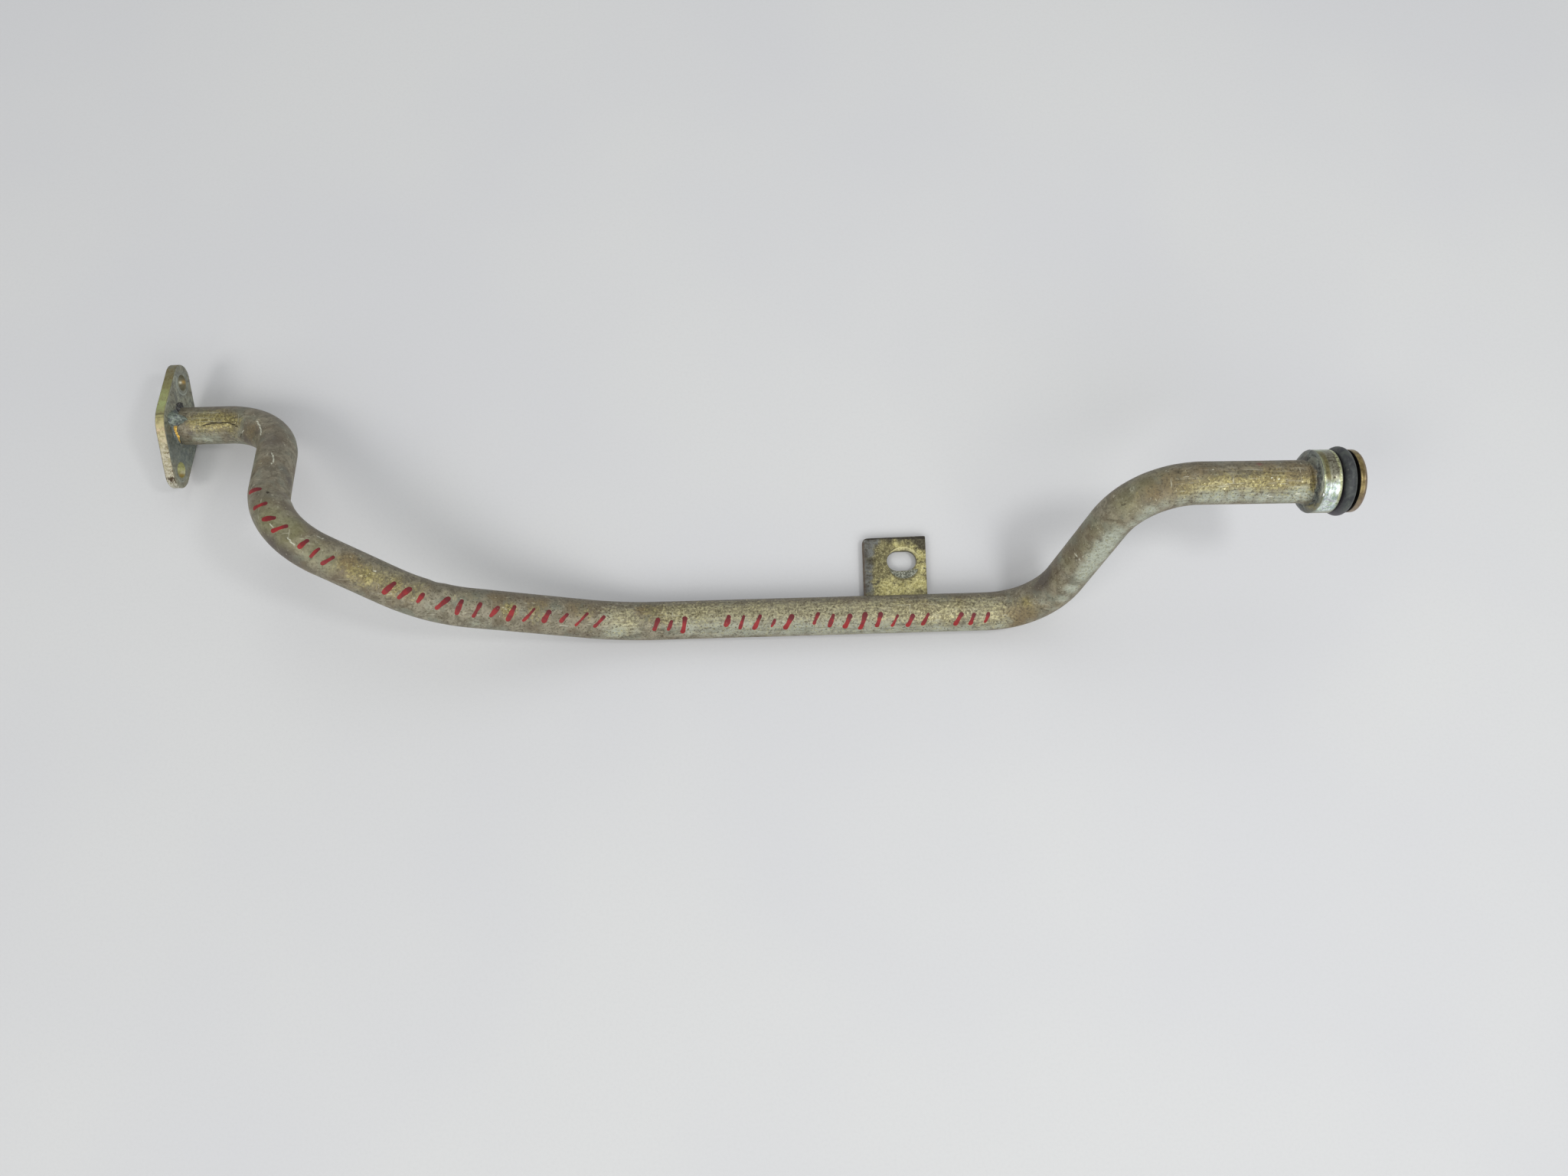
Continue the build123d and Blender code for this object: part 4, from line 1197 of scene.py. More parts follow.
# painted highlights on the land
c_highlight = np.maximum.reduce([
    np.exp(-(((cx_all + 1.3 * wander - 7.3) / 0.45) ** 2 + ((c_turn - 36 + 7 * wander) / 5) ** 2)),
    np.exp(-(((cx_all + 1.6 * wander - 10.1) / 0.60) ** 2 + ((c_turn - 36 - 9 * wander) / 8) ** 2)),
    0.8 * np.exp(-(((cx_all - 5.1) / 0.30) ** 2 + ((c_turn - 42) / 5) ** 2)),
    0.6 * np.exp(-(((cx_all - 11.2) / 0.35) ** 2 + ((c_turn - 8) / 7) ** 2)),
]) * on_land
c_pit = np.zeros(len(cflat))
rc = np.random.default_rng(21)
for k in range(46):
    x0 = 7.6 + 3.8 * rc.random()
    t0 = -30 + 48 * rc.random()
    size = 0.16 + 0.34 * rc.random() ** 1.5
    d = np.hypot(cx_all - x0, np.radians(c_turn - t0) * 11.7)
    c_pit = np.maximum(c_pit, np.exp(-((d / size) ** 2)) * (0.5 + 0.5 * rc.random()))
c_pit *= on_land
c_crack = streaks(cflat, collar_surface, [([(1738, 601), (1745, 602), (1751, 604)], 0.28, 0.9), ([(1731, 598), (1738, 601)], 0.2, 0.6)]) * on_land
cflat2 = cflat2 - cdir * (0.10 * c_pit + 0.05 * c_crack + 0.05 * c_highlight_line)[:, None]
collar_attrs = {
    "x_at": np.clip(cx_all / 21.0, 0, 1), "r_at": cr_all / 12.0, "land": on_land, "shoulder": on_shoulder, "lip": on_lip.astype(float),
    "outside": (cr_all > 8.6).astype(float), "line": c_highlight_line, "start": c_start, "olive": c_olive, "mauve": c_mauve, "edge": c_rim,
    "green": c_green, "blue": c_blue_sheen, "highlight": c_highlight, "pit": c_pit, "crack": c_crack,
    "turn": c_turn / 360.0 + 0.5,
    "groove": ((cx_all > 11.6) & (cx_all < 18.4) & (cr_all < 11.6)).astype(float),
    "bore": (cr_all < 7.3).astype(float),
}


def collar_finish():
    f = Finish("turned_plated_collar")
    fine = f.noise(0.9, 3, 0.6)
    mid = f.noise(2.0, 4, 0.6, 0.4)
    x = f.mask("x_at")
    turned = f.noise(0.55, 3, 0.6, 0.1, f.stretch((1.0, 0.08, 0.08)))
    land = f.mix(f.band(mid, 0.35, 0.65), rgb(128, 127, 104), rgb(160, 162, 138))
    land = f.mix(f.mul(f.mask("green"), 0.8), land, f.mix(f.band(mid, 0.4, 0.6), rgb(146, 168, 144), rgb(194, 214, 186)))
    land = f.mix(f.mul(f.mask("olive"), 0.85), land, f.mix(f.band(mid, 0.4, 0.6), rgb(98, 91, 52), rgb(124, 115, 68)))
    land = f.mix(f.mul(f.mask("mauve"), 0.75), land, f.mix(f.band(fine, 0.42, 0.58), rgb(144, 140, 122), rgb(98, 92, 78)))
    # blue-white: iridescent film colour with a painted reflection
    blue = f.mix(f.band(mid, 0.36, 0.52), rgb(168, 186, 186), rgb(232, 242, 238))
    blue = f.mix(f.mul(f.band(f.noise(1.7, 3, 0.6, 0.5), 0.52, 0.62), 0.75), blue, rgb(176, 200, 152))
    blue = f.mix(f.mul(f.band(f.noise(1.5, 3, 0.6, 0.5), 0.54, 0.64), 0.6), blue, rgb(148, 140, 160))
    land = f.mix(f.mul(f.mask("blue"), 0.9), land, blue)
    land = f.mix(f.mul(f.mask("edge"), 0.75), land, f.mix(f.band(fine, 0.45, 0.60), rgb(204, 206, 158), rgb(160, 162, 112)))
    land = f.mix(f.mul(f.mask("start"), 0.7), land, f.mix(f.band(mid, 0.42, 0.58), rgb(134, 144, 112), rgb(100, 102, 74)))
    # painted highlight line at the land's start
    land = f.mix(f.mul(f.mul(f.mask("line"), 0.8), f.band(fine, 0.36, 0.52)), land, rgb(200, 206, 158))
    land = f.mix(f.mul(f.band(turned, 0.54, 0.64), 0.45), land, rgb(92, 90, 70))
    land = f.mix(f.mul(f.band(fine, 0.60, 0.67), 0.65), land, rgb(84, 78, 58))
    # painted highlights
    land = f.mix(f.band(f.add(f.mask("highlight"), f.mul(f.add(fine, -0.5), 2.2)), 0.40, 0.62), land, rgb(246, 248, 244))
    land = f.mix(f.mul(f.band(f.mask("pit"), 0.2, 0.7), 0.85), land, rgb(78, 70, 46))
    land = f.mix(f.mul(f.mask("crack"), 0.8), land, rgb(72, 60, 50))
    shoulder = f.mix(f.band(f.noise(1.4, 4, 0.6, 0.8), 0.42, 0.60), rgb(64, 66, 62), rgb(112, 116, 106))
    col = f.mix(f.mask("land"), rgb(120, 122, 108), land)
    col = f.mix(f.mask("shoulder"), col, shoulder)
    # groove: painted shade
    col = f.mix(f.mask("groove"), col, rgb(34, 32, 30))
    lip = f.mix(f.band(mid, 0.35, 0.65), rgb(112, 96, 58), rgb(150, 133, 86))
    lip = f.mix(f.mul(f.band(fine, 0.54, 0.64), 0.5), lip, rgb(98, 78, 48))
    lip = f.mix(f.mul(f.band(x, 0.935, 0.955), 0.55), lip, rgb(140, 124, 108))
    lip = f.mix(f.mul(f.band(f.mask("turn"), 0.58, 0.68), 0.55), lip, rgb(140, 122, 112))
    lip = f.mix(f.band(x, 0.990, 0.996), lip, rgb(84, 74, 58))
    col = f.mix(f.mask("lip"), col, lip)
    col = f.mix(f.mask("bore"), col, rgb(96, 88, 74))
    rough = f.add(0.34, f.mul(f.add(mid, -0.5), 0.3))
    rough = f.blend(f.mask("shoulder"), rough, 0.5)
    metal = f.blend(f.mask("groove"), 0.55, 0.2)
    h = f.add(f.mul(fine, 0.5), f.add(f.mul(mid, 0.5), f.mul(turned, 0.4)))
    return f.finish(col, metal, rough, f.bump(h, 0.045))


# seal ring
prof_o = []
for k in range(64):
    a = math.radians(-90 + 360 * k / 64)
    x, r = 15.0 + 2.3 * math.cos(a), 10.55 + 2.3 * math.sin(a)
    prof_o.append((x, max(r, 8.36)))
ov, oout, ot, ox, orr = lathe(prof_o, SHOULDER, END_DIR, AROUND)
oflat = ov.reshape(-1, 3)
odir = np.tile(oout, (len(prof_o), 1))
ocentre = SHOULDER + 15.0 * END_DIR + np.tile(oout * 10.55, (len(prof_o), 1))
opoint = oflat - ocentre
opoint /= np.linalg.norm(opoint, axis=1)[:, None]
odisp = 0.03 * fbm(oflat, 3.0, 3, 81) + 0.012 * fbm(oflat, 0.7, 2, 82) - 0.035
# a pale, slightly raised line along the ring's outer right limb
pale_limb_line = np.exp(-(((np.repeat(ox, AROUND) - 16.60) / 0.15) ** 2)) * (np.repeat(orr, AROUND) > 11)
odisp = odisp + 0.02 * pale_limb_line
oflat2 = oflat + opoint * odisp[:, None]
ring_faces = grid_faces(len(prof_o), AROUND, close_rows=True)
ring_attrs = {"pale_limb_line": pale_limb_line, "out_at": (np.repeat(orr, AROUND) - 8.3) / 4.5}


def rubber_finish():
    f = Finish("worn_black_rubber")
    fine = f.noise(0.85, 3, 0.6)
    mid = f.noise(2.4, 4, 0.6, 0.5)
    wide = f.noise(6.0, 3, 0.55, 0.4)
    col = f.mix(f.band(mid, 0.38, 0.66), rgb(48, 50, 52), rgb(68, 72, 70))
    col = f.mix(f.mul(f.band(wide, 0.48, 0.62), 0.6), col, rgb(76, 82, 74))
    col = f.mix(f.mul(f.band(fine, 0.56, 0.68), 0.40), col, rgb(96, 98, 92))
    col = f.mix(f.mul(f.band(fine, 0.42, 0.34), 0.40), col, rgb(44, 44, 48))
    col = f.mix(f.mul(f.band(f.axis(2), 0.45, -0.2), 0.60), col, rgb(84, 74, 84))
    dust = f.band(f.noise(1.4, 4, 0.7, 0.3), 0.60, 0.70)
    col = f.mix(f.mul(dust, 0.35), col, rgb(122, 120, 104))
    col = f.mix(f.mul(f.mask("pale_limb_line"), 0.60), col, rgb(136, 140, 136))
    h = f.add(f.mul(fine, 0.5), f.mul(mid, 0.4))
    return f.finish(col, 0.0, f.add(0.50, f.mul(f.add(mid, -0.5), 0.2)), f.bump(h, 0.05))


# ------------------------------------------------------------------ beads
def bead_ring(origin, direction, root_r, face_leg, tube_leg, bulge, around, rows, lump, seed, sink=0.06, toward=1):
    """A ring bead in the corner between a face and a tube. face_leg, tube_leg and bulge are per angle.
    x runs along direction from the face; toward=-1 puts the bead on the other side."""
    a, b = ring_sides(direction)
    t = np.arange(around) * 2 * math.pi / around
    out = np.cos(t)[:, None] * a + np.sin(t)[:, None] * b
    q = np.linspace(0, 1, rows)
    X = np.zeros((rows, around))
    R = np.zeros((rows, around))
    for i, s in enumerate(q):
        # from the face end (s=0) to the tube end (s=1), curved by bulge
        x = tube_leg * s
        r = root_r + face_leg * (1 - s)
        arch = 4 * s * (1 - s)
        nx, nr = face_leg, tube_leg
        ln = np.hypot(nx, nr)
        X[i] = x + arch * bulge * nx / ln
        R[i] = r + arch * bulge * nr / ln
    v = origin + toward * X[..., None] * direction + R[..., None] * out[None]
    flat = v.reshape(-1, 3)
    outd = np.tile(out, (rows, 1))
    away = unit(direction) * 0.5 * toward + outd * 0.85
    weight = np.repeat(4 * q * (1 - q), around)
    flat = flat + away * (lump * weight * fbm(flat, 1.5, 3, seed))[:, None]
    # closing row, sunk into the corner
    corner = origin - toward * sink * direction + (root_r - sink) * out
    edge0 = flat[:around] - direction * sink * toward
    edge1 = flat[-around:] - out * sink
    all_v = np.vstack([edge0, flat, edge1, corner])
    n_rows = rows + 3
    all_faces = grid_faces(n_rows, around, close_rows=True, flip=(toward < 0))
    where = np.concatenate([[0], q, [1], [0.5]])
    return all_v, all_faces, np.tile(t, n_rows), np.repeat(where, around)


W = 360
wt = np.arange(W) * 360.0 / W
# angle 0 is the top; b side: find which way +Y lies
ra, rb = ring_sides(STUB_DIR)
y_sign = 1.0 if rb[1] > 0 else -1.0
signed = ((wt + 180) % 360) - 180
toward_y = signed * y_sign      # positive angles lean to +Y


def hump(centre, width):
    return np.exp(-(((toward_y - centre) / width) ** 2))


rough_a = 0.18 * np.interp(wt, np.linspace(0, 360, 61), np.append(np.random.default_rng(3).standard_normal(60), 0.0))
face_leg = 1.15 + rough_a + 3.0 * hump(-3, 17) + 0.9 * hump(32, 11) + 0.4 * hump(62, 9) - 0.20 * hump(-55, 30)
tube_leg = 1.05 + rough_a + 5.0 * hump(-1, 16) + 1.3 * hump(34, 12) - 0.20 * hump(60, 9) + 1.00 * hump(-50, 30)
bulge = -0.22 + 1.0 * hump(0, 16) + 0.55 * hump(34, 12) + 0.30 * hump(62, 9) + 0.10 * hump(-50, 30)
wv, wf, w_turn, w_at = bead_ring(
    STUB_START, STUB_DIR, TUBE_R, np.clip(face_leg, 0.5, 4.3), np.clip(tube_leg, 0.5, 6.4), bulge, W, 40, 0.16, 91
)
w_ty = (((np.degrees(w_turn) + 180) % 360) - 180) * y_sign
corner_surface = joined((fv, fq), (wv, wf), (base.reshape(-1, 3)[: 60 * ROUND], tube_faces[: 59 * ROUND]))
hollow_at = corner_surface.spot(235.2, 531.0)
# the hollow between tack and flange: dented, and painted dark as shade with some burnt colour
hollow_spots = [(u, v, 1.15, 1.0) for u, v in ((232, 530), (234, 528), (236.5, 528), (238.5, 530), (232.5, 533), (235, 531), (237.5, 532.5), (234, 535), (236.5, 535.5), (239, 535), (235, 537.5), (238, 537.8))]
cavity = blobs(wv, corner_surface, hollow_spots)
# dark lines round the hollow: dented gaps painted near-black as shade
corner_lines = [
    ([(229.8, 532.0), (232.5, 536.5), (237, 539.3), (244, 540.3)], 0.42, 1.0),
    ([(229.6, 531), (231, 527.5), (235, 525.8), (239.5, 527.5)], 0.26, 0.85),
    ([(239.5, 531.7), (248, 533.4)], 0.32, 0.8), ([(237.7, 539), (237.9, 532)], 0.26, 0.8),
]
w_gap_shade = streaks(wv, corner_surface, corner_lines)
# pale lines on the tack: painted highlights
w_highlight = streaks(wv, corner_surface, [
    ([(229.5, 541), (232.5, 543.5), (235, 546.5), (237.3, 549)], 0.28, 1.0),
    ([(219.5, 551), (222, 552), (226.5, 552.5)], 0.32, 0.9), ([(226, 554.5), (229, 555)], 0.3, 0.7), ([(233, 553.5), (234, 554)], 0.4, 0.7),
])
# the hollow's painted shade and gap lines carried onto the flange face
flange_attrs["gap_shade"] = np.maximum(streaks(fv, corner_surface, corner_lines), 0.85 * blobs(fv, corner_surface, hollow_spots)) * inner_face
axis_out = wv - (STUB_START + np.outer((wv - STUB_START) @ STUB_DIR, STUB_DIR))
axis_out /= np.maximum(np.linalg.norm(axis_out, axis=1)[:, None], 1e-9)
open_row = (w_at > 0.02) * (w_at < 0.98)
wv = wv - axis_out * ((0.85 * cavity + 0.30 * w_gap_shade - 0.10 * w_highlight) * open_row)[:, None]
half_width = np.interp(w_ty, [-86, -72, -50, -30, -20], [0.0, 0.10, 0.18, 0.26, 0.22])
crescent = smooth(half_width - np.abs(w_at - 0.66), -0.05, 0.04) * smooth(-w_ty, 19, 23) * smooth(w_ty, -88, -82)
beside = np.exp(-(((w_at - 0.66 - half_width - 0.07) / 0.06) ** 2)) * smooth(-w_ty, 17, 22) * smooth(w_ty, -96, -86)
bead_attrs = {
    "at": w_at, "cavity": np.clip(cavity, 0, 1), "gap_shade": w_gap_shade, "light": w_highlight,
    "tack": np.exp(-(((w_ty - 2) / 19.0) ** 4)),
    "orange": crescent, "beside": beside,
}


def weld_finish():
    f = Finish("weld_bead")
    fine = f.noise(0.85, 3, 0.6)
    mid = f.noise(1.5, 4, 0.6, 0.6)
    base_c = f.mix(f.band(mid, 0.35, 0.62), rgb(84, 90, 88), rgb(132, 138, 128))
    base_c = f.mix(f.mul(f.band(f.noise(2.4, 3, 0.5), 0.5, 0.65), 0.5), base_c, rgb(112, 104, 80))
    tack = f.mix(f.band(mid, 0.40, 0.60), rgb(98, 106, 100), rgb(138, 149, 134))
    tack = f.mix(f.mul(f.band(f.noise(2.0, 3, 0.6, 0.5), 0.52, 0.62), 0.5), tack, rgb(98, 90, 110))
    # pale flecks on the tack: painted glints
    tack = f.mix(f.mul(f.band(fine, 0.60, 0.70), 0.40), tack, rgb(180, 192, 178))
    tack = f.mix(f.mul(f.band(fine, 0.42, 0.34), 0.5), tack, rgb(66, 70, 70))
    col = f.mix(f.mask("tack"), base_c, tack)
    # painted highlights on the tack
    col = f.mix(f.mul(f.mul(f.mask("light"), 0.7), f.band(fine, 0.36, 0.50)), col, rgb(204, 214, 202))
    at = f.mask("at")
    orange = f.mix(f.band(at, 0.30, 0.60), rgb(196, 140, 52), rgb(216, 176, 78))
    orange = f.mix(f.mul(f.band(fine, 0.55, 0.66), 0.4), orange, rgb(150, 104, 40))
    col = f.mix(f.mul(f.mask("orange"), 0.95), col, orange)
    col = f.mix(f.mul(f.mask("beside"), 0.85), col, rgb(52, 44, 34))
    # hollow: painted shade with some burnt colour
    cav = f.band(f.mask("cavity"), 0.25, 0.65)
    col = f.mix(f.mul(cav, 0.85), col, f.mix(f.band(mid, 0.4, 0.6), rgb(44, 40, 42), rgb(78, 72, 74)))
    # gap lines: painted shade
    line = f.band(f.mask("gap_shade"), 0.25, 0.75)
    col = f.mix(line, col, rgb(26, 23, 24))
    rough = f.blend(f.mask("tack"), 0.45, 0.44)
    rough = f.blend(f.mask("orange"), rough, 0.32)
    rough = f.blend(f.math("MAXIMUM", cav, line), rough, 0.7)
    metal = f.blend(f.math("MAXIMUM", cav, line), f.blend(f.mask("tack"), 0.5, 0.3), 0.1)
    h = f.add(f.mul(fine, 0.4), f.mul(mid, 0.6))
    return f.finish(col, metal, rough, f.bump(h, 0.05))


# braze over the collar's shoulder
Z = 300
zt = np.arange(Z) * 360.0 / Z
rows = 30
q = np.linspace(0, 1, rows)
knots = np.array([(1.45, 7.99), (1.90, 8.20), (2.12, 8.74), (2.42, 9.50), (2.88, 10.26), (3.42, 10.94), (3.98, 11.44), (4.5, 11.74), (4.9, 11.74)])
kd = np.concatenate([[0], np.cumsum(np.linalg.norm(np.diff(knots, axis=0), axis=1))])
kd /= kd[-1]
zx, zr = np.interp(q, kd, knots[:, 0]), np.interp(q, kd, knots[:, 1])
dxr = np.gradient(np.stack([zx, zr], 1), axis=0)
dxr /= np.linalg.norm(dxr, axis=1)[:, None]
nrm = np.stack([-dxr[:, 1], dxr[:, 0]], 1)
za, zb = ring_sides(END_DIR)
zout = np.cos(np.radians(zt))[:, None] * za + np.sin(np.radians(zt))[:, None] * zb
grid = SHOULDER + zx[:, None, None] * END_DIR + zr[:, None, None] * zout[None]
zflat = grid.reshape(-1, 3)
znorm = (nrm[:, 0][:, None, None] * END_DIR + nrm[:, 1][:, None, None] * zout[None]).reshape(-1, 3)
zw = np.repeat(np.clip(np.minimum(q * 8, (1 - q) * 6), 0, 1), Z)
z_turn = np.tile(((zt + 180) % 360) - 180, rows)
zx_all = np.repeat(zx, Z)
edge_x = np.interp(z_turn, [-180, -120, -90, -60, -35, -15, 0, 20, 35, 50, 65, 90, 120, 180], [1.8, 1.6, 1.5, 1.7, 2.1, 2.5, 2.7, 2.8, 2.65, 2.4, 2.1, 1.7, 1.6, 1.8])
past = zx_all - edge_x - 0.35 * fbm(zflat, 2.2, 3, 103)
lumps = fbm(zflat * np.array([0.75, 1, 1]), 2.6, 3, 101)
# creases between lumps: sunk, and painted dark as shade
shaded_crease = 1 - np.abs(fbm(zflat, 3.1, 3, 102)) * 5.0
shaded_crease = np.clip(shaded_crease, 0, 1) ** 2
beyond = smooth(past, -0.2, 0.4)
# band just past the braze's edge on the upper side: sunk, and painted dark as shade
gap = np.exp(-(((past - 0.45) / 0.42) ** 2)) * smooth(np.cos(np.radians(z_turn)), -0.5, 0.2)
braze_plain = Surface(zflat, grid_faces(rows, Z))
# dark crevice lines: sunk, and painted dark as shade
z_shaded_crevice = streaks(zflat, braze_plain, [
    ([(1701, 601.5), (1706, 604), (1710, 607)], 0.50, 0.95),
    ([(1711, 608), (1713, 616), (1715, 625), (1716, 635)], 0.34, 0.8),
    ([(1716, 638), (1719, 646), (1718, 652), (1714, 657), (1708, 660)], 0.50, 1.0),
    ([(1723, 603), (1725, 612), (1726.5, 622), (1727, 632), (1727, 641)], 0.60, 0.95),
    ([(1719, 611), (1721, 619), (1720, 627), (1721, 634)], 0.28, 0.7),
    ([(1714, 593), (1719, 597), (1724, 601)], 0.34, 0.6),
    ([(1722, 646), (1720, 655), (1716, 662)], 0.30, 0.7),
])
# raised lumps, also painted lighter as highlights
z_lump = blobs(zflat, braze_plain, [
    (1712, 602, 1.3, 0.9), (1717, 606, 1.3, 0.8), (1713, 610, 0.9, 0.6), (1719, 617, 0.9, 0.8), (1718, 630, 1.0, 0.8), (1723, 626, 0.8, 0.5),
    (1723, 648, 1.1, 0.8), (1714, 663, 1.5, 0.8), (1720, 599, 1.2, 0.6),
])
zdisp = zw * (0.04 + 0.12 * (1 - beyond) + beyond * (0.22 * lumps + 0.34 * z_lump - 0.20 * shaded_crease) - 0.24 * z_shaded_crevice - 0.10 * gap) - 0.04
zflat2 = zflat + znorm * zdisp[:, None]
zunder = (SHOULDER + (zx + 0.15)[:, None, None] * END_DIR + (zr - 0.8)[:, None, None] * zout[None])
zunder_r = np.maximum(zr - 0.8, 7.7)
zunder = SHOULDER + (zx + 0.1)[:, None, None] * END_DIR + zunder_r[:, None, None] * zout[None]
pick = [rows - 1, rows // 2, 0]
zall = np.vstack([zflat2] + [zunder[k] for k in pick])
braze_faces = grid_faces(rows + 3, Z, close_rows=True)
def ends(values, fill):
    return np.concatenate([values, np.full(3 * Z, fill)])


braze_attrs = {
    "shaded_crease": ends(shaded_crease * zw * beyond, 1.0), "lump": ends(lumps * 0.5 + 0.5, 0.0), "beyond": ends(beyond, 0.0), "gap": ends(gap, 0.0),
    "at": np.concatenate([np.repeat(q, Z), np.repeat(q[pick], Z)]), "line": ends(z_shaded_crevice, 1.0), "raised": ends(z_lump, 0.0),
    "speck": np.ones(len(zall)), "straight": np.ones(len(zall)),
}
braze_attrs.update(marks_at(zall))
braze_surface = Surface(zflat2, grid_faces(rows, Z))
b_olive = blobs(zall, braze_surface, [
    (1712, 661, 2.6, 1.0), (1717, 664, 2.4, 0.9), (1722, 660, 2.0, 0.8), (1706, 658, 2.0, 0.7), (1726, 652, 1.6, 0.6), (1703, 652, 1.8, 0.4),
    (1724, 646, 1.2, 0.5),
])
# painted shade in the crevices
b_crevice_shade = blobs(zall, braze_surface, [
    (1703, 602, 1.4, 1.0), (1706, 604, 1.2, 0.9), (1716, 613, 1.3, 0.6), (1724, 618, 1.4, 0.8), (1725, 628, 1.6, 1.0), (1726, 636, 1.3, 0.7),
    (1719, 648, 1.5, 0.9), (1717, 653, 1.3, 1.0), (1722, 641, 1.0, 0.6), (1714, 590, 1.6, 0.5),
])
# painted soft highlights on the lumps
b_lump_highlight = blobs(zall, braze_surface, [
    (1711, 601, 1.6, 0.9), (1716, 605, 1.6, 0.8), (1712, 610, 1.2, 0.7), (1720, 600, 1.4, 0.5), (1719, 622, 1.0, 0.5), (1717, 635, 1.0, 0.4),
])
braze_attrs.update({"olive_lump": b_olive, "crevice_shade": b_crevice_shade, "lump_highlight": b_lump_highlight})


def braze_finish():
    f = Finish("lumpy_braze")
    skin, gm, cream_hl_m, rm, white_sheen_m, fine, grain, mid, speck = plated(f)
    soft = f.noise(2.6, 4, 0.6, 0.5)
    col = f.mix(f.band(soft, 0.38, 0.62), rgb(86, 89, 88), rgb(122, 126, 118))
    col = f.mix(f.mul(f.band(f.noise(3.4, 3, 0.5), 0.48, 0.62), 0.5), col, rgb(110, 104, 88))
    # lighter raised lumps and lump highlights: painted highlights
    col = f.mix(f.mul(f.mask("raised"), 0.55), col, rgb(146, 150, 140))
    col = f.mix(f.mul(f.mask("lump_highlight"), 0.55), col, rgb(138, 141, 116))
    col = f.mix(f.mul(f.mask("olive_lump"), 0.8), col, f.mix(f.band(mid, 0.4, 0.6), rgb(116, 108, 70), rgb(148, 140, 96)))
    # creases, crevices and crevice lines: painted shade
    cr = f.band(f.mask("shaded_crease"), 0.35, 0.9)
    col = f.mix(f.mul(cr, 0.5), col, rgb(58, 58, 58))
    col = f.mix(f.mul(f.band(f.mask("crevice_shade"), 0.2, 0.9), 0.60), col, rgb(52, 54, 60))
    col = f.mix(f.mul(f.band(f.mask("line"), 0.25, 0.85), 0.75), col, rgb(48, 48, 50))
    col = f.mix(f.mul(f.band(fine, 0.59, 0.68), 0.35), col, rgb(160, 166, 158))
    col = f.mix(f.mul(f.band(fine, 0.42, 0.34), 0.30), col, rgb(58, 58, 58))
    col = f.mix(f.mask("beyond"), skin, col)
    # band past the edge: painted shade
    col = f.mix(f.mul(f.band(f.add(f.mask("gap"), f.mul(f.add(mid, -0.5), 0.6)), 0.3, 0.8), 0.45), col, rgb(72, 66, 58))
    rough = f.blend(f.mask("beyond"), f.blend(gm, 0.50, 0.44), 0.40)
    h = f.add(f.mul(fine, 0.5), f.mul(mid, 0.7))
    return f.finish(col, 0.48, rough, f.bump(h, 0.10))


# bead along the tab's root: a bar that follows the tube's flank
bead_n, bead_m = 120, 22
u = np.linspace(0, 1, bead_n)
bl = 22.6
tab_low = TAB_TOP - TUBE_R
root_off = math.sqrt(TUBE_R**2 - tab_low**2)
rngb = np.random.default_rng(15)
wave = np.interp(u, np.linspace(0, 1, 24), rngb.standard_normal(24)) * 0.16
endf = np.sqrt(np.clip(1 - (2 * u - 1) ** 8, 0.02, 1))
verts_b = []
for i in range(bead_n):
    base_p = RUN_START + RUN_DIR * (104.8 + bl * u[i])
    leg = (1.55 + wave[i]) * endf[i]
    up_leg = (1.55 + 0.8 * wave[i]) * endf[i]
    ring_p = []
    for j in range(bead_m):
        s = j / (bead_m - 1)
        # from the tab's face to the tube's flank
        pt = np.array([root_off + leg * (1 - s), tab_low])
        ang0 = math.asin(tab_low / TUBE_R)
        ang1 = ang0 + up_leg / TUBE_R * 1.1
        on_tube = np.array([TUBE_R * math.cos(ang1), TUBE_R * math.sin(ang1)])
        start = np.array([root_off + leg, tab_low])
        p2 = start * (1 - s) + on_tube * s
        arch = 4 * s * (1 - s)
        mid_dir = unit(np.array([1.0, 1.0]))
        p2 = p2 + mid_dir * arch * (0.10 + 0.5 * wave[i]) * endf[i]
        ring_p.append(base_p + RUN_SIDE * p2[0] + np.array([0, 0, 1.0]) * p2[1])
    ring_p.append(base_p + RUN_SIDE * (root_off - 0.25) + np.array([0, 0, 1.0]) * (tab_low - 0.08))
    verts_b.append(ring_p)
vb = np.array(verts_b).reshape(-1, 3)
cols = bead_m + 1
vb = vb + np.array([0, 0.3, 0.6]) * (0.10 * fbm(vb, 1.3, 3, 120))[:, None]
fb_faces = []
for i in range(bead_n - 1):
    for j in range(cols):
        k = (j + 1) % cols
        fb_faces.append((i * cols + j, (i + 1) * cols + j, (i + 1) * cols + k, i * cols + k))
fb_faces.append(tuple(range(cols)))
fb_faces.append(tuple((bead_n - 1) * cols + j for j in reversed(range(cols))))
tab_bead_attrs = {key: np.zeros(len(vb)) for key in bead_attrs}
tab_bead_attrs["at"] = np.tile(np.linspace(0, 1, cols), bead_n)

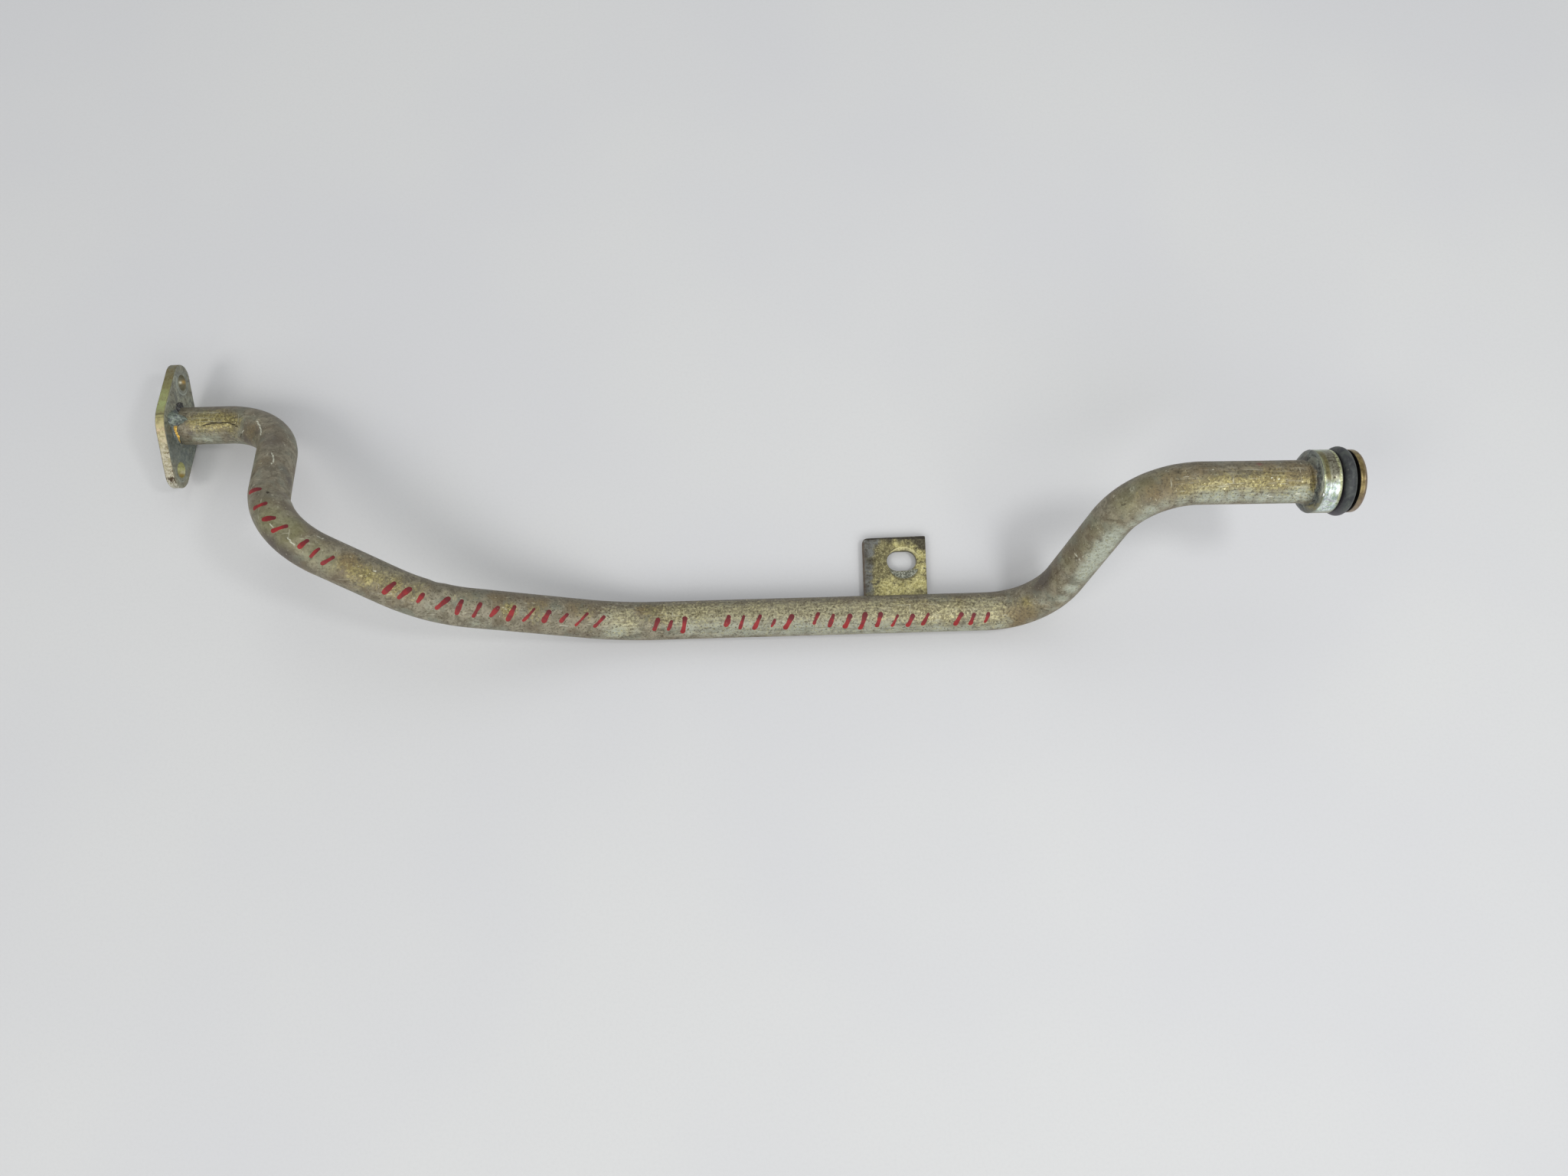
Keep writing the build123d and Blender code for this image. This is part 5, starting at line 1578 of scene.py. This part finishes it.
# ------------------------------------------------------------------ pieces
weld_material = weld_finish()
pieces = [
    ("pipe_skin", verts, faces, tube_attrs, tube_finish(), "pipe", "plated_tube"),
    ("flange_plate_skin", fv2, fq, flange_attrs, flange_finish(), "flange_plate", "plated_plate"),
    ("flange_weld_skin", wv, wf, bead_attrs, weld_material, "flange_weld", "weld_metal"),
    ("bracket_tab_skin", tv2, tq, tab_attrs, tab_finish(), "bracket_tab", "plated_tab"),
    ("bracket_weld_skin", vb, fb_faces, tab_bead_attrs, weld_material, "bracket_weld", "weld_metal"),
    ("end_collar_skin", cflat2, collar_faces, collar_attrs, collar_finish(), "end_collar", "plated_collar"),
    ("collar_braze_skin", zall, braze_faces, braze_attrs, braze_finish(), "collar_braze", "braze_metal"),
    ("o_ring_skin", oflat2, ring_faces, ring_attrs, rubber_finish(), "o_ring", "seal_rubber"),
]
for name, v, fcs, attrs, material, node, slot in pieces:
    ob = add_mesh(name, v, fcs, attrs, material)
    bm = bmesh.new()
    bm.from_mesh(ob.data)
    bmesh.ops.recalc_face_normals(bm, faces=bm.faces)
    bm.to_mesh(ob.data)
    bm.free()
    ob.data.polygons.foreach_set("use_smooth", [True] * len(ob.data.polygons))
    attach(ob, "root")
    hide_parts(node)

# ------------------------------------------------------------------ surface underneath, light
floor_me = bpy.data.meshes.new("tabletop")
F = 3.0
floor_me.from_pydata([(-F, -F, 0), (F, -F, 0), (F, F, 0), (-F, F, 0)], [], [(0, 1, 2, 3)])
floor = bpy.data.objects.new("tabletop", floor_me)
bpy.context.scene.collection.objects.link(floor)
f = Finish("pale_tabletop")
grain = f.noise(1.2, 3, 0.6)
cloud = f.noise(160.0, 2, 0.5)
tone = f.mix(f.band(cloud, 0.35, 0.65), rgb(222, 222, 221), rgb(219, 219, 220))
tone = f.mix(f.mul(f.band(grain, 0.4, 0.7), 0.25), tone, rgb(214, 214, 214))
floor_me.materials.append(f.finish(tone, 0.0, 0.6, f.bump(grain, 0.03)))


def lamp(name, at, aim, size, power, colour=(1, 1, 1)):
    data = bpy.data.lights.new(name, "AREA")
    data.shape = "DISK"
    data.size = size
    data.energy = power
    data.color = colour
    ob = bpy.data.objects.new(name, data)
    ob.location = at
    ob.rotation_euler = (Vector(aim) - Vector(at)).to_track_quat("-Z", "Y").to_euler()
    bpy.context.scene.collection.objects.link(ob)
    return ob


lamp("light_left", (-1.0, -0.85, 1.5), (-0.1, 0, 0), 0.70, 6.4, (1.0, 0.985, 0.965))
lamp("light_right", (0.42, -0.12, 0.72), (0.1, 0, 0), 0.13, 1.0, (0.98, 0.99, 1.0))
lamp("light_back", (0.0, 1.0, 1.4), (0, 0, 0), 1.1, 2.6, (0.97, 0.985, 1.0))
front = lamp("light_front", (0.30, -1.15, 1.08), (0.02, 0, 0), 1.9, 9.0, (0.98, 0.99, 1.0))
front.data.shape = "RECTANGLE"
front.data.size_y = 0.72

world = bpy.data.worlds.new("soft_room")
world.use_nodes = True
wn = world.node_tree
wn.nodes["Background"].inputs[0].default_value = (0.96, 0.98, 1.0, 1.0)
wn.nodes["Background"].inputs[1].default_value = 0.46
bpy.context.scene.world = world
view = bpy.context.scene.view_settings
view.view_transform = "Standard"
view.look = "None"
view.exposure = 0.0
view.gamma = 1.0
